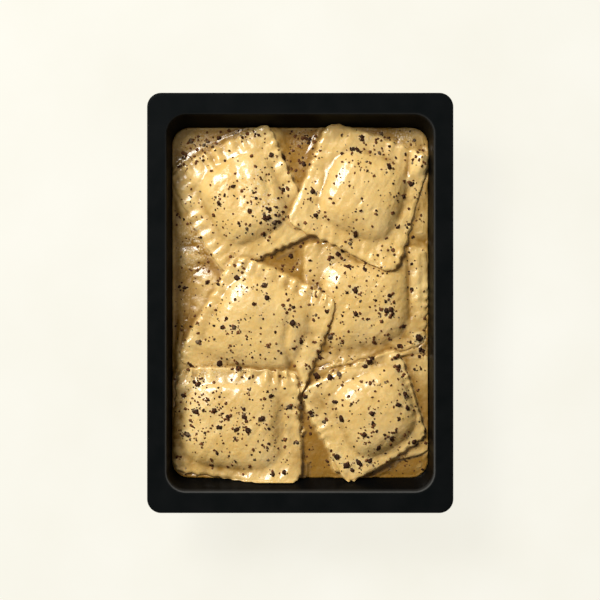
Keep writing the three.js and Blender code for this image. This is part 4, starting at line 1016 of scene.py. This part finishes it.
def all_flakes():
    """Each flake's place, size, tone, turn and squash, the last three from 0 to 1."""
    flakes = patch_flakes(LARGE_PEPPER, 11) + patch_flakes(SMALL_PEPPER, 23)
    return flakes + crumbs_round(LARGE_PEPPER, 41) + scattered_flakes(DUST_FLAKES, 37)


def flake_points(template, flake, size, field, seed):
    """One flake: a rough, squashed lump that lies on the food and follows its slope."""
    x, y, _, _, turn, squash = flake
    stream = Stream(seed)
    least, more = FLAKE_ROUGH
    bumps = np.array([least + more * stream.draw() for _ in range(len(template))])
    width, wider, height = FLAKE_SQUASH
    points = template * bumps[:, None] * np.array([1, width + wider * squash, height])
    c = math.cos(turn * 2 * math.pi)
    s = math.sin(turn * 2 * math.pi)
    points = points @ np.array([[c, s, 0], [-s, c, 0], [0, 0, 1]]) * size
    at = np.array([x, x + CELL, x - CELL, x, x]), np.array([y, y, y, y + CELL, y - CELL])
    z, east, west, north, south = sample(field, *at)
    slope_x = np.clip((east - west) / (2 * CELL), -STEEPEST, STEEPEST)
    slope_y = np.clip((north - south) / (2 * CELL), -STEEPEST, STEEPEST)
    points[:, 2] += slope_x * points[:, 0] + slope_y * points[:, 1]
    return points + np.array([x, y, z + 0.1 * size])


def icosphere():
    phi = (1 + math.sqrt(5)) / 2
    base = [(-1, phi, 0), (1, phi, 0), (-1, -phi, 0), (1, -phi, 0), (0, -1, phi), (0, 1, phi)]
    base += [(0, -1, -phi), (0, 1, -phi), (phi, 0, -1), (phi, 0, 1), (-phi, 0, -1), (-phi, 0, 1)]
    faces = [(0, 11, 5), (0, 5, 1), (0, 1, 7), (0, 7, 10), (0, 10, 11), (1, 5, 9), (5, 11, 4)]
    faces += [(11, 10, 2), (10, 7, 6), (7, 1, 8), (3, 9, 4), (3, 4, 2), (3, 2, 6), (3, 6, 8)]
    faces += [(3, 8, 9), (4, 9, 5), (2, 4, 11), (6, 2, 10), (8, 6, 7), (9, 8, 1)]
    points = [np.array(p) / math.sqrt(1 + phi * phi) for p in base]
    middles = {}

    def middle(a, b):
        key = (min(a, b), max(a, b))
        if key not in middles:
            point = points[a] + points[b]
            points.append(point / np.linalg.norm(point))
            middles[key] = len(points) - 1
        return middles[key]

    fine = []
    for a, b, c in faces:
        ab, bc, ca = middle(a, b), middle(b, c), middle(c, a)
        fine += [(a, ab, ca), (b, bc, ab), (c, ca, bc), (ab, bc, ca)]
    return np.array(points), fine


def flake_size(listed):
    """A flake's length as built: a fifth more than listed for small ones, less for the largest."""
    return 1.2 * listed if listed < 1 else 0.45 + 0.72 * listed


def flake_kind(number, size, tone):
    if size < LARGE_FLAKE and tone > BROWN_FROM:
        return "pepper_brown"
    return "pepper_coated" if number % COATED_EACH == 3 else "pepper_black"


def build_pepper(flakes, field):
    template, template_faces = icosphere()
    kinds = {name: ([], []) for name in PEPPER_KINDS}
    section = mouth_at(SAUCE_LEVEL)
    for n, flake in enumerate(flakes):
        x, y, listed, tone = flake[:4]
        if outside(x, y, section) > -FLAKES_OFF_WALL:
            continue
        size = flake_size(listed)
        points, faces = kinds[flake_kind(n, size, tone)]
        start = len(points) * len(template)
        points.append(flake_points(template, flake, size, field, 1000 + n))
        faces += [tuple(start + k for k in f) for f in template_faces]
    for name, (points, faces) in kinds.items():
        make_object(name, np.concatenate(points), faces, pepper_material(name, *PEPPER_KINDS[name]))


# The tones of the food
def pepper_halos(flakes):
    """0 to 1, by how much pepper lies round each place: the cream stays pale and thick there."""
    load = np.zeros_like(GRID_X)
    for flake in flakes:
        i, j = cells(np.array(flake[0]), np.array(flake[1]))
        load[i, j] += flake[2] ** 2
    return smooth(blur(load, EVERYWHERE, 3, 3) / 0.055)


def mark_cream(obj, pool_shade_field, halo_field):
    """Marks where pale cream lies, where froth and painted highlights lie, and the painted shade that also
    stands for how deep the sauce pools, for the material.
    """
    count = len(obj.data.vertices)
    places = np.empty(count * 3)
    obj.data.vertices.foreach_get("co", places)
    x, y, _ = places.reshape(-1, 3).T / MM
    # Froth, and painted highlights, in patches.
    mark(obj, "froth", spots(x, y, FROTH_AND_HIGHLIGHTS) * (0.6 + 0.6 * waves(x, y, 4, 55)))
    # The painted shade, partly also the tone of pooled sauce.
    hollow = sample(pool_shade_field, x, y)
    mark(obj, "hollow", hollow)
    mottle = smooth(0.5 + 0.9 * waves(x, y, 5.5, 71)) * smooth(0.55 + 0.8 * waves(x, y, 2.2, 72))
    halo = sample(halo_field, x, y) * smooth(0.75 + 0.7 * waves(x, y, 2.6, 73))
    # Pale cream is weaker where the painted shade lies.
    mark(obj, "pale", (0.22 * mottle + 0.6 * halo) * (1 - 0.75 * np.clip(hollow, 0, 1)))


def pool_and_shade_tones(field):
    """Painted shade, partly also the deeper tone of pooled sauce: 0 on top of the food and towards 1 in the
    pools between the ravioli, in low places and in small grooves.
    """
    inside = (outside(GRID_X, GRID_Y, mouth_at(SAUCE_LEVEL)) < 0).astype(float)
    # Painted shade: darker the deeper a place lies below its surroundings, near and far.
    near = blur(field, inside, 7, 7) - field
    far = blur(field, inside, 22, 22) - field
    close = window_mean(field, inside, 3) - field
    # Painted shade: the lower a place lies, the darker.
    low = smooth((SAUCE_LEVEL + 2.6 - field) / 2.2)
    tone = 0.58 * low + 0.75 * smooth((0.5 * near + 0.5 * far + 0.3) / 2.9)
    # Painted shade in small grooves, and less of it on small ridges.
    tone = tone + 0.4 * smooth(close / 0.4) - 0.22 * smooth(-close / 0.4)
    tone = tone + 0.07 * waves(GRID_X, GRID_Y, 10, 81) + 0.06 * waves(GRID_X, GRID_Y, 3.6, 82)
    # Spots of painted shade and painted light.
    tone = tone + spots(GRID_X, GRID_Y, SHADE_AND_LIGHT_TINTS)
    return window_mean(np.clip(tone, 0, 1), EVERYWHERE, 1)


def prepare(raviolo, seed, pile, fine_u, fine_v):
    """Fills in what a raviolo's row leaves out, and sinks its hollow into the bed if it is a low one."""
    low = "_low_" in raviolo["name"]
    raviolo["low"] = low
    raviolo["seed"] = seed
    raviolo.setdefault("flutes", LOW_FLUTES if low else USUAL_FLUTES)
    raviolo.setdefault("wall", LOW_WALL if low else USUAL_WALL)
    stream = Stream(seed)
    raviolo["phases"] = [[2 * math.pi * stream.draw() for _ in range(3)] for _ in range(4)]
    raviolo["mask"] = np.zeros_like(pile)
    raviolo["mask"][cells(*place(raviolo, fine_u, fine_v))] = 1
    if low:
        pile[cells(*place(raviolo, fine_u * BED_GROWTH, fine_v * BED_GROWTH, hollow=True))] = BED_LEVEL


def build_food(flakes):
    """Lays the ravioli down one by one, then pours the sauce. Gives the height of the food over the tray."""
    pasta = food_material("coated_pasta", PASTA_LIGHT, PASTA_DEEP, 0.3)
    cream = food_material("cream_sauce", CREAM_LIGHT, CREAM_DEEP, 0.24)
    walls = wall_height(GRID_X, GRID_Y)
    pile = SAUCE_LEVEL + SAUCE_TILT * GRID_Y
    fine = np.linspace(-1, 1, FINE_GRID)
    fine_u, fine_v = np.meshgrid(fine, fine, indexing="ij")
    for n, raviolo in enumerate(RAVIOLI):
        prepare(raviolo, 300 + 13 * n, pile, fine_u, fine_v)
    low_pile = None
    pieces = []
    for raviolo in RAVIOLI:
        settle(raviolo, pile, walls)
        points, faces = raviolo_surface(raviolo, LOW_GRID if raviolo["low"] else TOP_GRID)
        fine_x, fine_y = place(raviolo, fine_u, fine_v)
        fine_z = top_height(raviolo, fine_u, fine_v, fine_x, fine_y)
        lay_on(pile, np.stack([fine_x, fine_y, fine_z], axis=-1).reshape(-1, 3))
        if raviolo["low"] and not raviolo.get("clear"):
            low_pile = pile.copy()
        name = raviolo["name"]
        pieces.append(make_object(name + "_dressed", points, faces, pasta, [name]))
    height = sauce_top(low_pile, pile)
    pieces.append(build_sauce(cream, height))
    field = np.maximum(pile, height)
    pool_shade_field = pool_and_shade_tones(field)
    halo_field = pepper_halos(flakes)
    for piece in pieces:
        mark_cream(piece, pool_shade_field, halo_field)
    return field


# The stage
def add_area_light(name, place_m, size, energy, colour):
    """A square light that points at the food."""
    light = bpy.data.lights.new(name, "AREA")
    light.shape = "SQUARE"
    light.size = size
    light.energy = energy
    light.color = colour
    obj = bpy.data.objects.new(name, light)
    bpy.context.scene.collection.objects.link(obj)
    obj.location = place_m
    x, y, z = np.array([0, 0, SAUCE_LEVEL * MM]) - np.array(place_m)
    obj.rotation_euler = (math.atan2(math.hypot(x, y), -z), 0, math.pi + math.atan2(x, -y))


def build_floor():
    mesh = bpy.data.meshes.new("tabletop")
    side = TABLE_SIDE
    corners = [(-side, -side, 0), (side, -side, 0), (side, side, 0), (-side, side, 0)]
    mesh.from_pydata(corners, [], [(0, 1, 2, 3)])
    floor = bpy.data.objects.new("tabletop", mesh)
    bpy.context.scene.collection.objects.link(floor)
    shader = Shader("pale_tabletop")
    glow = shader.ramp(shader.noise(14, detail=4.0), [(0.3, TABLE_GLOW[0]), (0.7, TABLE_GLOW[1])])
    shader.set(Base_Color=TABLE_BASE, Roughness=0.9, Specular_IOR_Level=0.1)
    shader.set(Emission_Color=glow, Emission_Strength=0.913)
    mesh.materials.append(shader.material)


def build_light():
    world = bpy.data.worlds.new("studio")
    world.use_nodes = True
    bpy.context.scene.world = world
    background = world.node_tree.nodes["Background"]
    background.inputs["Color"].default_value = (*WARM, 1)
    background.inputs["Strength"].default_value = 0.12
    bpy.context.scene.view_settings.view_transform = "Standard"
    add_area_light("key", (-0.42, 0.46, 0.68), 0.38, 10.4, NEARLY_WHITE)
    add_area_light("fill", (0.5, -0.5, 0.8), 0.7, 0.85, WARM)


def build_camera():
    camera = bpy.data.cameras.new("camera")
    camera.sensor_width = SENSOR
    camera.lens = LENS
    obj = bpy.data.objects.new("camera", camera)
    bpy.context.scene.collection.objects.link(obj)
    obj.location = (CAMERA_X, CAMERA_Y, TRAY_HEIGHT * MM + PICTURE_WIDTH * LENS / SENSOR)
    bpy.context.scene.camera = obj


def main():
    build_camera()
    build_floor()
    build_light()
    build_tray(plastic_material())
    flakes = all_flakes()
    build_pepper(flakes, build_food(flakes))


main()
